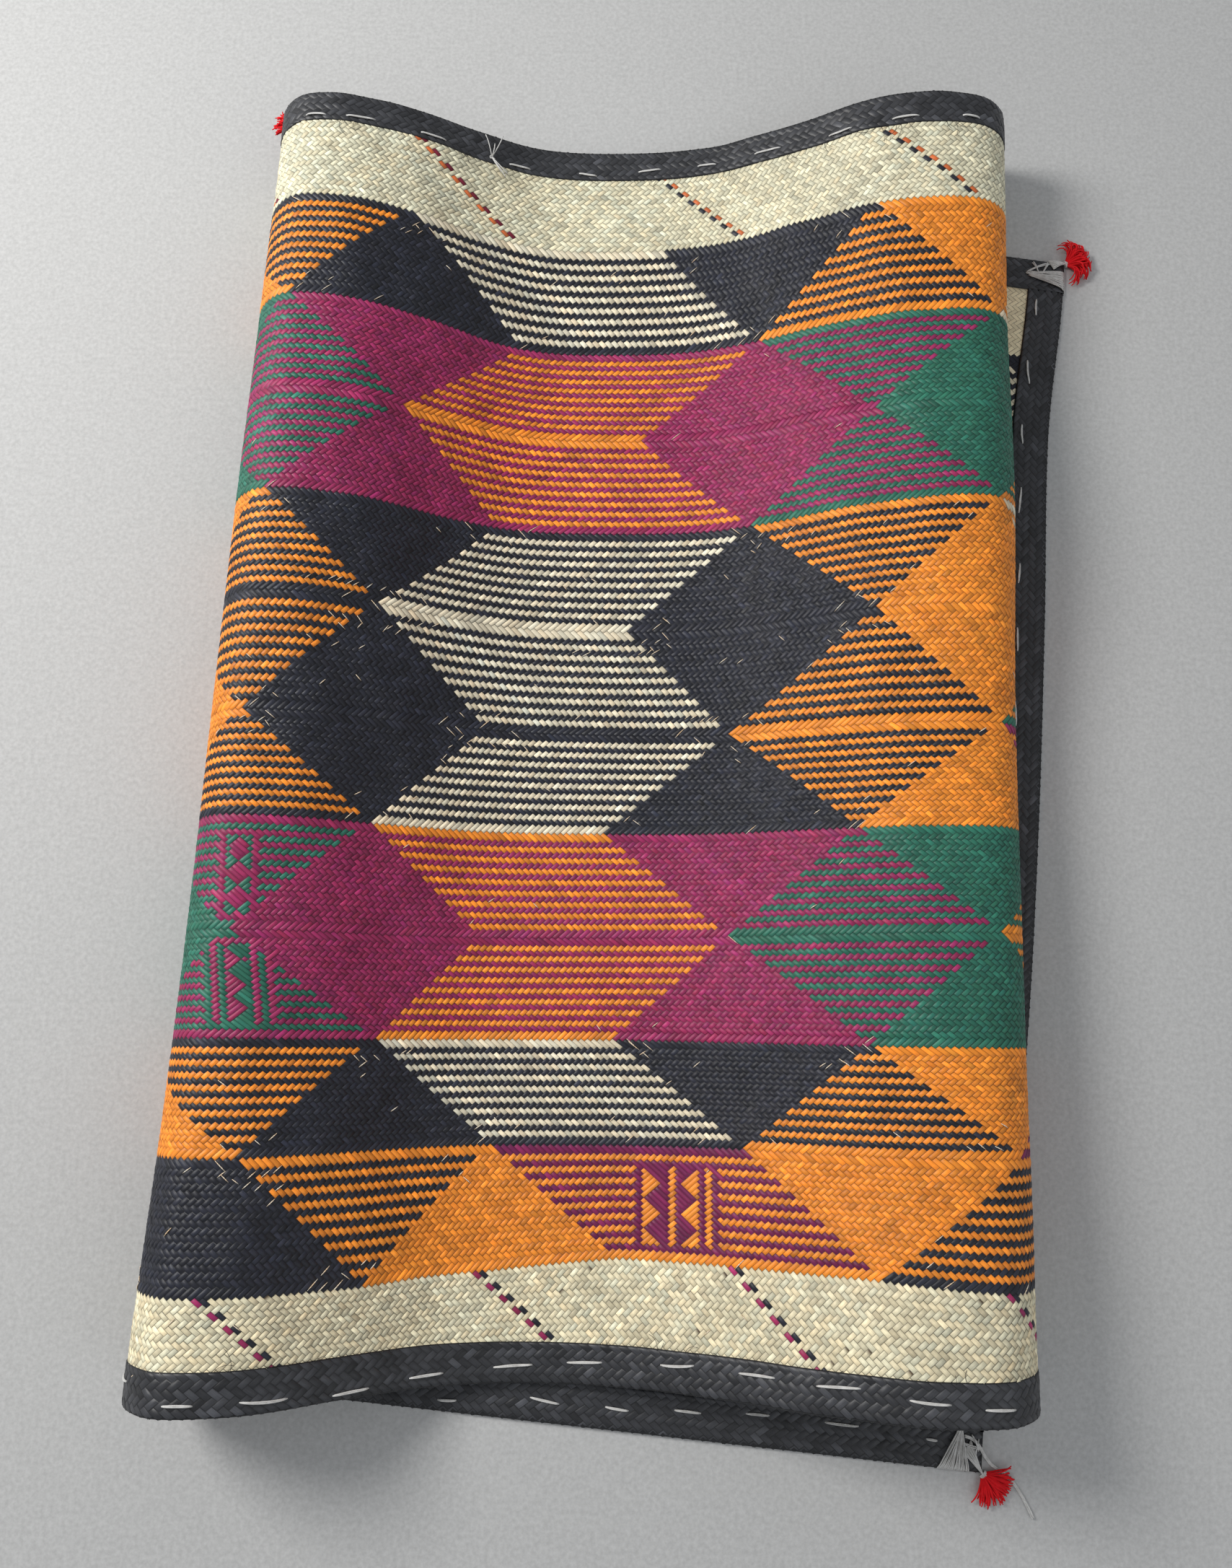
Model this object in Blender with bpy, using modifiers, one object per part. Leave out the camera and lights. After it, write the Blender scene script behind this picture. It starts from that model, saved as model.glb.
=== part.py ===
"""Woven mat, plaited from dyed leaf strips, bound all round and folded in three.

Metres, +Z up. The mat lies on the floor: the outer layer is flat on it, the cloth
turns over in a loose fold at the left, comes back over the top, turns under in a
second loose fold at the right and ends inside the first one.
"""
import math

import bmesh
import bpy
import numpy as np

COLLECTION = "folded_woven_mat"

# Driving sizes of the flat mat
MAT_WIDTH = 1.420
SHEET_THICK = 0.0016
BAND_WIDTH = 0.037
BAND_THICK = 0.0010
PLAY = 0.0005
BAND_LIP = 0.0012
HALF_BOUND = SHEET_THICK / 2 + PLAY + BAND_THICK

# Heights of the middle of each lying layer: mid cloth, and near the bound edges
FLOOR_LAYER = (SHEET_THICK / 2, HALF_BOUND)
INNER_LAYER = (0.0043, 0.0075)
TOP_LAYER = (0.0069, 0.0125)
EDGE_ZONE = (0.045, 0.115)
STACK_ZONE = (0.140, 0.330)

# The inner end leans up the inside of the left fold: its bend, its height over that fold's
# lowest line, and its corner points by metres walked from there
CURL_R = 0.0436
CURL_LIFT = 0.0094
CURL_PLACES = (-0.010, 0.0135, 0.0520)

BACK_EDGE_Y = 1.060

# Sideways run of the rows in each layer, metres of Y per metre walked along the cloth; in
# the lowest layer at the back edge and at the front edge
OUTER_RUN = (0.155, 0.105)
TOP_RUN = -0.012
INNER_RUN = 0.018

# One row per section across the mat, from the back edge to the front edge.
# across: metres from the back edge; free_x: outer end; left_x, right_x: the two folds;
# lift: rise of the top layer in mm at 14 even places, left to right
SECTIONS = [
    dict(across=0.000, free_x=0.552, left_x=-0.402, right_x=0.466,
         lift=(98, 93, 71, 40, 10, 0, 0, 3, 13, 36, 66, 96, 110, 105)),
    dict(across=0.240, free_x=0.516, left_x=-0.412, right_x=0.456,
         lift=(114, 110, 86, 49, 15, 0, 0, 1, 9, 31, 60, 84, 100, 102)),
    dict(across=0.480, free_x=0.495, left_x=-0.424, right_x=0.447,
         lift=(122, 119, 88, 45, 12, 0, 0, 0, 6, 26, 60, 90, 111, 117)),
    dict(across=0.720, free_x=0.472, left_x=-0.436, right_x=0.436,
         lift=(115, 106, 75, 42, 13, 0, 0, 0, 4, 20, 47, 71, 87, 91)),
    dict(across=0.960, free_x=0.444, left_x=-0.447, right_x=0.425,
         lift=(111, 101, 67, 33, 8, 0, 0, 1, 9, 29, 57, 82, 98, 101)),
    dict(across=1.200, free_x=0.408, left_x=-0.459, right_x=0.414,
         lift=(118, 111, 78, 38, 8, 0, 0, 2, 14, 39, 69, 96, 113, 114)),
    dict(across=1.420, free_x=0.366, left_x=-0.470, right_x=0.404,
         lift=(133, 130, 96, 49, 14, 1, 0, 9, 28, 55, 84, 112, 130, 127)),
]
COLUMNS = ("free_x", "left_x", "right_x")

# Places across the mat and steps along each stretch of the section
ACROSS = [0.0, 0.0185, BAND_WIDTH, 0.075, 0.140, 0.240, 0.360, 0.480, 0.600, 0.720, 0.840,
          0.960, 1.080, 1.200, 1.290, 1.345, MAT_WIDTH - BAND_WIDTH, MAT_WIDTH - 0.0185, MAT_WIDTH]
STEPS = {"lying": 1, "fold": 3, "top": 2}


def smooth(value):
    value = min(1.0, max(0.0, value))
    return value * value * (3.0 - 2.0 * value)


def blend(zone, across):
    """1 by the long edges, 0 in the middle of the cloth."""
    near = min(across, MAT_WIDTH - across)
    return 1.0 - smooth((near - zone[0]) / (zone[1] - zone[0]))


def section_at(across):
    """The section table read at any place across the mat, with smooth passage."""
    places = [row["across"] for row in SECTIONS]
    at = min(max(int(np.searchsorted(places, across, side="right")) - 1, 0), len(places) - 2)
    step = (across - places[at]) / (places[at + 1] - places[at])

    def read(row):
        row = SECTIONS[min(max(row, 0), len(SECTIONS) - 1)]
        return np.array([row[name] for name in COLUMNS] + [v / 1000.0 for v in row["lift"]])

    a, b, c, d = (read(at + k) for k in (-1, 0, 1, 2))
    return 0.5 * (2 * b + (c - a) * step + (2 * a - 5 * b + 4 * c - d) * step ** 2
                  + (3 * b - 3 * c + d - a) * step ** 3)


def control_points(across):
    """Corner points of one section as rows of x, y, z, from the outer end to the inner one."""
    values = section_at(across)
    free_x, left_x, right_x = values[:3]
    lift = values[3:]
    edge, stack = blend(EDGE_ZONE, across), blend(STACK_ZONE, across)
    floor_z = FLOOR_LAYER[0] + (FLOOR_LAYER[1] - FLOOR_LAYER[0]) * edge
    inner_z = INNER_LAYER[0] + (INNER_LAYER[1] - INNER_LAYER[0]) * stack
    top_z = TOP_LAYER[0] + (TOP_LAYER[1] - TOP_LAYER[0]) * stack
    end_z = HALF_BOUND
    span = right_x - left_x
    outer_run = OUTER_RUN[0] + (OUTER_RUN[1] - OUTER_RUN[0]) * across / MAT_WIDTH

    left_r = (top_z + lift[0] - floor_z) / 2 * 0.985
    right_r = (top_z + lift[-1] - inner_z) / 2 * 0.985
    points, runs, stretch = [], [], []

    def add(x, z, run, kind):
        points.append((x, z))
        runs.append(run)
        stretch.append(kind)

    start_x = left_x + left_r + 0.030
    for x in (free_x, free_x - 0.038, free_x - 0.063):
        add(x, end_z, outer_run, "lying")
    for part in (0.0, 0.20, 0.40, 0.60, 0.80, 1.0):
        add(free_x - 0.090 + (start_x - free_x + 0.090) * part, floor_z, outer_run, "lying")
    for degrees in (-90, -60, -30, 0, 30, 58):
        angle = math.radians(degrees)
        run = outer_run + (TOP_RUN - outer_run) * (degrees + 90) / 180.0
        add(left_x + left_r * (1.0 - 1.02 * math.cos(angle)),
            floor_z + left_r * (1.0 + math.sin(angle)), run, "fold")
    for place, rise in enumerate(lift):
        add(left_x + span * (0.055 + 0.0685 * place), top_z + rise, TOP_RUN, "top")
    for degrees in (58, 30, 0, -30, -60, -90):
        angle = math.radians(degrees)
        run = TOP_RUN + (INNER_RUN - TOP_RUN) * (90 - degrees) / 180.0
        add(right_x - right_r * (1.0 - 1.02 * math.cos(angle)),
            inner_z + right_r * (1.0 + math.sin(angle)), run, "fold")
    start_x = right_x - right_r - 0.030
    stop_x = left_x + left_r + 0.040
    for part in (0.0, 0.25, 0.50, 0.75, 1.0):
        add(start_x + (stop_x - start_x) * part, inner_z, INNER_RUN, "lying")
    for walked, kind in zip(CURL_PLACES, ("fold", "lying", "lying")):
        angle = walked / CURL_R
        add(left_x + left_r - CURL_R * math.sin(angle),
            floor_z + CURL_LIFT + CURL_R * (1.0 - math.cos(angle)), INNER_RUN, kind)

    xz = np.array(points)
    reach = np.linalg.norm(np.diff(xz, axis=0), axis=1)
    run = np.array(runs)
    y = np.concatenate([[0.0], np.cumsum(reach * 0.5 * (run[1:] + run[:-1]))])
    middle = stretch.index("top") + 6
    y += BACK_EDGE_Y - across - y[middle]
    return np.stack([xz[:, 0], y, xz[:, 1]], axis=1), stretch


def stations(stretch):
    """Places along the section, counted in corner points, finer where the cloth bends."""
    places = [0.0]
    for index in range(len(stretch) - 1):
        count = STEPS["fold"] if "fold" in stretch[index:index + 2] else STEPS[stretch[index]]
        places += [index + (k + 1) / count for k in range(count)]
    return np.array(places)


def spline(points, places):
    """Smooth curve through the corner points' polygon (uniform cubic B-spline)."""
    first, last = 2 * points[0] - points[1], 2 * points[-1] - points[-2]
    padded = np.vstack([first, points, last])
    cell = np.minimum(places.astype(int), len(points) - 2)
    t = (places - cell)[:, None]
    a, b, c, d = (padded[cell + k] for k in range(4))
    return ((1 - t) ** 3 * a + (3 * t ** 3 - 6 * t ** 2 + 4) * b
            + (-3 * t ** 3 + 3 * t ** 2 + 3 * t + 1) * c + t ** 3 * d) / 6.0


def middle_surface():
    """Grid of points of the cloth's middle: [place across, place along, xyz]."""
    rows = []
    for across in ACROSS:
        points, stretch = control_points(across)
        rows.append(spline(points, stations(stretch)))
    return np.array(rows)


def face_normals(grid):
    along = np.gradient(grid, axis=1)
    across = np.gradient(grid, np.array(ACROSS), axis=0)
    normal = np.cross(along, across)
    return normal / np.linalg.norm(normal, axis=2, keepdims=True)


def material(name, colour, roughness):
    made = bpy.data.materials.new(name)
    made.use_nodes = True
    shader = made.node_tree.nodes["Principled BSDF"]
    shader.inputs["Base Color"].default_value = (*colour, 1.0)
    shader.inputs["Roughness"].default_value = roughness
    return made


def add_object(name, bm, made, thickness=0.0):
    """Puts a mesh in the scene; an open surface is given its thickness by Solidify."""
    bmesh.ops.recalc_face_normals(bm, faces=bm.faces)
    if not thickness and bm.calc_volume(signed=True) < 0.0:
        bmesh.ops.reverse_faces(bm, faces=bm.faces)
    mesh = bpy.data.meshes.new(name)
    bm.to_mesh(mesh)
    bm.free()
    mesh.materials.append(made)
    item = bpy.data.objects.new(name, mesh)
    bpy.data.collections[COLLECTION].objects.link(item)
    if thickness:
        shell = item.modifiers.new("thickness", "SOLIDIFY")
        shell.thickness = thickness
        shell.offset = 0.0
        shell.use_even_offset = True
        shell.use_quality_normals = True
    return item


def lay_grid(points):
    """A Blender grid laid over rows of points."""
    wide, long = points.shape[:2]
    bm = bmesh.new()
    bmesh.ops.create_grid(bm, x_segments=long - 1, y_segments=wide - 1, size=0.5)
    for v in bm.verts:
        k = round((v.co.x + 0.5) * (long - 1))
        j = round((v.co.y + 0.5) * (wide - 1))
        v.co = points[j, k]
    return bm


def make_sheet(grid, made):
    return add_object("mat_sheet", lay_grid(grid), made, SHEET_THICK)


def make_band(name, edge, inside, normal, outward, made):
    """A band folded over one edge: a U of four lines round the rim, with thickness."""
    half = SHEET_THICK / 2 + PLAY + BAND_THICK / 2
    lip = edge + outward * (PLAY + BAND_THICK / 2)
    lines = [inside + normal[:, 1] * half, lip + normal[:, 0] * half,
             lip - normal[:, 0] * half, inside - normal[:, 1] * half]
    return add_object(name, lay_grid(np.array(lines)), made, BAND_THICK)


def unit(vectors):
    return vectors / np.linalg.norm(vectors, axis=-1, keepdims=True)


def long_band(name, grid, normal, rim, inner, made):
    edge, inside = grid[rim].copy(), grid[inner].copy()
    for line in (edge, inside):
        line[0] += unit(line[0] - line[1]) * BAND_LIP
        line[-1] += unit(line[-1] - line[-2]) * BAND_LIP
    pairs = np.stack([normal[rim], normal[inner]], axis=1)
    return make_band(name, edge, inside, pairs, unit(edge - inside), made)


def end_band(name, grid, normal, end, inner, made):
    """Band over a short end, between the two long ones."""
    first, last = ACROSS.index(BAND_WIDTH), ACROSS.index(MAT_WIDTH - BAND_WIDTH)
    rows = list(range(first, last + 1))
    edge, inside = grid[rows, end].copy(), grid[rows, inner].copy()
    for line in (edge, inside):
        line[0] += unit(line[1] - line[0]) * PLAY * 1.4
        line[-1] += unit(line[-2] - line[-1]) * PLAY * 1.4
    pairs = np.stack([normal[rows, end], normal[rows, inner]], axis=1)
    return make_band(name, edge, inside, pairs, unit(edge - inside), made)


# Tassels: one row each, heading in degrees from +X, length of the yarn, and what it lies
# over; the inner ones stand out level from the raised corner
TASSELS = [
    dict(name="tassel_outer_back", corner=(0, 0), heading=8, length=0.034, floor=0.0003),
    dict(name="tassel_outer_front", corner=(-1, 0), heading=-48, length=0.036, floor=0.0003),
    dict(name="tassel_inner_back", corner=(0, -1), heading=150, length=0.034, floor=None),
    dict(name="tassel_inner_front", corner=(-1, -1), heading=-82, length=0.028, floor=None),
]
TASSEL_COLUMNS, TASSEL_ROWS, TASSEL_STEPS = 8, 3, 4
HEAD_LONG, HEAD_WIDE, HEAD_HIGH = 0.0065, 0.0085, 0.0036
YARN_FAN = math.radians(34)
# Rings of the head behind its front face: distance from the tip, width against the ring
# before, low and high side as shares of the height
HEAD_RINGS = [(0.0035, 0.86, 0.0, 1.0), (0.0012, 0.92, 0.04, 0.94), (0.0, 0.78, 0.14, 0.86)]


def make_tassel(row, corner, made):
    """Lashed head with yarn ends growing from its front face, all one body."""
    bm = bmesh.new()
    cols, rows = TASSEL_COLUMNS, TASSEL_ROWS
    turn = math.radians(row["heading"])
    bmesh.ops.create_grid(bm, x_segments=cols, y_segments=rows, size=0.5)
    for v in bm.verts:
        v.co = (HEAD_LONG, HEAD_WIDE * v.co.x, HEAD_HIGH * (v.co.y + 0.5))
    front = sorted(bm.faces, key=lambda face: (round(face.calc_center_median().z, 6),
                                               round(face.calc_center_median().y, 6)))
    rim = [edge for edge in bm.edges if edge.is_boundary]
    for x, wide, low, high in HEAD_RINGS:
        made_ring = bmesh.ops.extrude_edge_only(bm, edges=rim)["geom"]
        rim = [part for part in made_ring if isinstance(part, bmesh.types.BMEdge)]
        for v in [part for part in made_ring if isinstance(part, bmesh.types.BMVert)]:
            v.co = (x, v.co.y * wide, HEAD_HIGH * (low + (high - low) * v.co.z / HEAD_HIGH))
        rim = [edge for edge in rim if edge.is_boundary]
    bmesh.ops.contextual_create(bm, geom=rim)
    bm.normal_update()
    bmesh.ops.inset_individual(bm, faces=front, thickness=0.00014)
    for index, face in enumerate(front):
        j, i = divmod(index, cols)
        side = 2.0 * (i + 0.5) / cols - 1.0
        fan = YARN_FAN * side
        reach = row["length"] * (1.0 - 0.16 * side * side + 0.05 * math.sin(2.3 * i + 1.7 * j))
        base = face.calc_center_median()
        for step in range(1, TASSEL_STEPS + 1):
            part = step / TASSEL_STEPS
            face = bmesh.ops.extrude_discrete_faces(bm, faces=[face])["faces"][0]
            centre = face.calc_center_median()
            swell = 1.08 if step < TASSEL_STEPS else 0.50
            level = 0.0006 + j * 0.0012
            want = (base.x + reach * part * math.cos(fan),
                    base.y + reach * part * math.sin(fan) + 0.0008 * math.sin(3.0 * part),
                    base.z + (level - base.z) * smooth(part * 1.6))
            for v in face.verts:
                size = swell if step in (1, TASSEL_STEPS) else 1.0
                v.co = [want[n] + (v.co[n] - centre[n]) * size for n in range(3)]
    away = 0.0032 + BAND_LIP
    floor = corner[2] - HEAD_HIGH / 2 if row["floor"] is None else row["floor"]
    for v in bm.verts:
        x, y = v.co.x + away, v.co.y
        v.co.x = corner[0] + x * math.cos(turn) - y * math.sin(turn)
        v.co.y = corner[1] + x * math.sin(turn) + y * math.cos(turn)
        v.co.z += floor
    return add_object(row["name"], bm, made)


def build():
    for item in list(bpy.data.objects):
        bpy.data.objects.remove(item)
    home = bpy.data.collections.new(COLLECTION)
    bpy.context.scene.collection.children.link(home)

    leaf = material("plaited_leaf", (0.62, 0.27, 0.10), 0.62)
    black = material("black_band", (0.035, 0.035, 0.045), 0.66)
    red = material("red_yarn", (0.62, 0.03, 0.06), 0.85)

    grid = middle_surface()
    normal = face_normals(grid)
    long = grid.shape[1]
    inner_row = ACROSS.index(BAND_WIDTH)
    items = [
        make_sheet(grid, leaf),
        long_band("band_back", grid, normal, 0, inner_row, black),
        long_band("band_front", grid, normal, -1, len(ACROSS) - 1 - inner_row, black),
        end_band("band_outer_end", grid, normal, 0, 1, black),
        end_band("band_inner_end", grid, normal, long - 1, long - 2, black),
    ]
    for row in TASSELS:
        items.append(make_tassel(row, grid[row["corner"][0], row["corner"][1]], red))

    bpy.context.view_layer.update()
    shapes = bpy.context.evaluated_depsgraph_get()
    points = np.array([v.co for item in items for v in item.evaluated_get(shapes).data.vertices])
    low, high = points.min(axis=0), points.max(axis=0)
    shift = ((low[0] + high[0]) / 2, (low[1] + high[1]) / 2, low[2])
    for item in items:
        item.location = [-value for value in shift]
    print("shift", shift, "size", high - low)


build()
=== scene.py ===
"""Woven mat folded in three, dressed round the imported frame: the plaited face, the bound
edges with their running stitches, the corner lashings and tassels. Metres, +Z up."""

import math

import bpy
import numpy as np
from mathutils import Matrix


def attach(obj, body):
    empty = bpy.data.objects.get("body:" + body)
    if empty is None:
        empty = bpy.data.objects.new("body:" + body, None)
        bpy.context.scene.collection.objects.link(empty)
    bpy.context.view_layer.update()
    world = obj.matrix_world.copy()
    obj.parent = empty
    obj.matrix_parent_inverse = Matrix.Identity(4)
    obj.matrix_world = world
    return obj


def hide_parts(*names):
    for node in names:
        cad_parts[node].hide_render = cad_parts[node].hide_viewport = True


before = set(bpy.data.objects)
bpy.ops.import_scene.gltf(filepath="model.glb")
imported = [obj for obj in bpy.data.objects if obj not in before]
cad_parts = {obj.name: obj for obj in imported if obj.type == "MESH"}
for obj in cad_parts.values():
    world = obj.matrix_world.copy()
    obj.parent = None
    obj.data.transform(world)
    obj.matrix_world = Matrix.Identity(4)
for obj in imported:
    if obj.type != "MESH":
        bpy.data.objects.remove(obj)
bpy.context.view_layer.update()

rng = np.random.default_rng(7)

# --- the folded cloth
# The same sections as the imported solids. A layer's heights are those of the sheet's middle,
# clear of the bands and between them; the zones say where, from a long edge, that changes
MAT_WIDTH, BAND_WIDTH = 1.420, 0.037
HALF_BOUND = 0.0023                        # half the thickness inside a band
FLOOR_LAYER = (0.0008, HALF_BOUND)
INNER_LAYER = (0.0043, 0.0075)
TOP_LAYER = (0.0069, 0.0125)
EDGE_ZONE, STACK_ZONE = (0.045, 0.115), (0.140, 0.330)
BACK_EDGE_Y = 1.060
OUTER_RUN = (0.155, 0.105)                 # y for each metre of x, at the back and the front
TOP_RUN, INNER_RUN = -0.012, 0.018
BOUND_END, FLOOR_FROM = (0.0, 0.038, 0.063), 0.090   # inwards from the outer end
FLAT_SHORT, INNER_SHORT = 0.030, 0.040     # flat layers stop this short of the folds
ROUND, BULGE = 0.985, 1.02                 # a fold's radius over half its height, and depth
FOLD_TURNS = (-90, -60, -30, 0, 30, 58)    # degrees round a fold
LIFT_FIRST, LIFT_STEP = 0.055, 0.0685      # the table's heights, in shares of the span
CURL_R, CURL_LIFT = 0.0436, 0.0094
CURL_PLACES = (-0.010, 0.0135, 0.0520)
FRAME_ORIGIN = np.array([0.063704, 0.308347, 0.0])

SECTIONS = [
    dict(across=0.000, free_x=0.552, left_x=-0.402, right_x=0.466,
         lift=(98, 93, 71, 40, 10, 0, 0, 3, 13, 36, 66, 96, 110, 105)),
    dict(across=0.240, free_x=0.516, left_x=-0.412, right_x=0.456,
         lift=(114, 110, 86, 49, 15, 0, 0, 1, 9, 31, 60, 84, 100, 102)),
    dict(across=0.480, free_x=0.495, left_x=-0.424, right_x=0.447,
         lift=(122, 119, 88, 45, 12, 0, 0, 0, 6, 26, 60, 90, 111, 117)),
    dict(across=0.720, free_x=0.472, left_x=-0.436, right_x=0.436,
         lift=(115, 106, 75, 42, 13, 0, 0, 0, 4, 20, 47, 71, 87, 91)),
    dict(across=0.960, free_x=0.444, left_x=-0.447, right_x=0.425,
         lift=(111, 101, 67, 33, 8, 0, 0, 1, 9, 29, 57, 82, 98, 101)),
    dict(across=1.200, free_x=0.408, left_x=-0.459, right_x=0.414,
         lift=(118, 111, 78, 38, 8, 0, 0, 2, 14, 39, 69, 96, 113, 114)),
    dict(across=1.420, free_x=0.366, left_x=-0.470, right_x=0.404,
         lift=(133, 130, 96, 49, 14, 1, 0, 9, 28, 55, 84, 112, 130, 127)),
]
COLUMNS = ("free_x", "left_x", "right_x")


def smooth(value):
    value = min(1.0, max(0.0, value))
    return value * value * (3.0 - 2.0 * value)


def blend(zone, across):
    near = min(across, MAT_WIDTH - across)
    return 1.0 - smooth((near - zone[0]) / (zone[1] - zone[0]))


def section_at(across):
    places = [row["across"] for row in SECTIONS]
    at = int(np.searchsorted(places, across, side="right")) - 1
    at = min(max(at, 0), len(places) - 2)
    step = (across - places[at]) / (places[at + 1] - places[at])

    def read(row):
        row = SECTIONS[min(max(row, 0), len(SECTIONS) - 1)]
        return np.array([row[name] for name in COLUMNS] + [v / 1000.0 for v in row["lift"]])

    a, b, c, d = (read(at + k) for k in (-1, 0, 1, 2))
    return 0.5 * (2 * b + (c - a) * step + (2 * a - 5 * b + 4 * c - d) * step ** 2
                  + (3 * b - 3 * c + d - a) * step ** 3)


def control_points(across):
    """Corner points of one section, from the outer end to the inner one, and which of them
    are the first and last of the top layer."""
    values = section_at(across)
    free_x, left_x, right_x = values[:3]
    lift = values[3:]
    edge, stack = blend(EDGE_ZONE, across), blend(STACK_ZONE, across)
    floor_z = FLOOR_LAYER[0] + (FLOOR_LAYER[1] - FLOOR_LAYER[0]) * edge
    inner_z = INNER_LAYER[0] + (INNER_LAYER[1] - INNER_LAYER[0]) * stack
    top_z = TOP_LAYER[0] + (TOP_LAYER[1] - TOP_LAYER[0]) * stack
    span = right_x - left_x
    left_r = (top_z + lift[0] - floor_z) / 2 * ROUND
    right_r = (top_z + lift[-1] - inner_z) / 2 * ROUND
    outer_run = OUTER_RUN[0] + (OUTER_RUN[1] - OUTER_RUN[0]) * across / MAT_WIDTH

    rows = [(free_x - inward, HALF_BOUND, outer_run) for inward in BOUND_END]
    begin, end = free_x - FLOOR_FROM, left_x + left_r + FLAT_SHORT
    for part in (0.0, 0.20, 0.40, 0.60, 0.80, 1.0):
        rows.append((begin + (end - begin) * part, floor_z, outer_run))
    for degrees in FOLD_TURNS:
        angle = math.radians(degrees)
        rows.append((left_x + left_r * (1.0 - BULGE * math.cos(angle)),
                     floor_z + left_r * (1.0 + math.sin(angle)),
                     outer_run + (TOP_RUN - outer_run) * (degrees + 90) / 180.0))
    top = len(rows)
    for place, rise in enumerate(lift):
        rows.append((left_x + span * (LIFT_FIRST + LIFT_STEP * place), top_z + rise, TOP_RUN))
    for degrees in reversed(FOLD_TURNS):
        angle = math.radians(degrees)
        rows.append((right_x - right_r * (1.0 - BULGE * math.cos(angle)),
                     inner_z + right_r * (1.0 + math.sin(angle)),
                     TOP_RUN + (INNER_RUN - TOP_RUN) * (90 - degrees) / 180.0))
    begin, end = right_x - right_r - FLAT_SHORT, left_x + left_r + INNER_SHORT
    for part in (0.0, 0.25, 0.50, 0.75, 1.0):
        rows.append((begin + (end - begin) * part, inner_z, INNER_RUN))
    for walked in CURL_PLACES:
        angle = walked / CURL_R
        rows.append((left_x + left_r - CURL_R * math.sin(angle),
                     floor_z + CURL_LIFT + CURL_R * (1.0 - math.cos(angle)), INNER_RUN))

    xz, run = np.array(rows)[:, :2], np.array(rows)[:, 2]
    reach = np.linalg.norm(np.diff(xz, axis=0), axis=1)
    y = np.concatenate([[0.0], np.cumsum(reach * 0.5 * (run[1:] + run[:-1]))])
    y += BACK_EDGE_Y - across - y[top + len(lift) // 2 - 1]
    return np.stack([xz[:, 0], y, xz[:, 1]], axis=1), top, top + len(lift) - 1


def spline(points, places):
    first, last = 2 * points[0] - points[1], 2 * points[-1] - points[-2]
    padded = np.vstack([first, points, last])
    cell = np.minimum(places.astype(int), len(points) - 2)
    t = (places - cell)[:, None]
    a, b, c, d = (padded[cell + k] for k in range(4))
    return ((1 - t) ** 3 * a + (3 * t ** 3 - 6 * t ** 2 + 4) * b
            + (-3 * t ** 3 + 3 * t ** 2 + 3 * t + 1) * c + t ** 3 * d) / 6.0


def unit(vectors):
    return vectors / np.linalg.norm(vectors, axis=-1, keepdims=True)


# The column of the weave that every row is counted from, on the top layer
COUNT_FROM_X = (-0.228, -0.250)
COUNT_FROM_W = (0.134, 1.1914)
# Ripples of the top layer: height, waves along x and y in radians a metre, and turn
RIPPLES = [(0.0009, 61.0, 9.0, 0.4), (0.0007, 38.0, -31.0, 2.1), (0.0006, 17.0, 83.0, 4.0),
           (0.0004, 104.0, 47.0, 1.3), (0.0004, -88.0, 66.0, 5.2)]
RIPPLE_FADE = 0.06                         # along the cloth, from the ends of the top layer
RIPPLE_HEIGHTS = (0.014, 0.03)             # none below the first, all of it this much higher


def along_path(points):
    """Distance along a line of points, at each of them."""
    return np.concatenate([[0.0], np.cumsum(np.linalg.norm(np.diff(points, axis=0), axis=1))])


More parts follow.
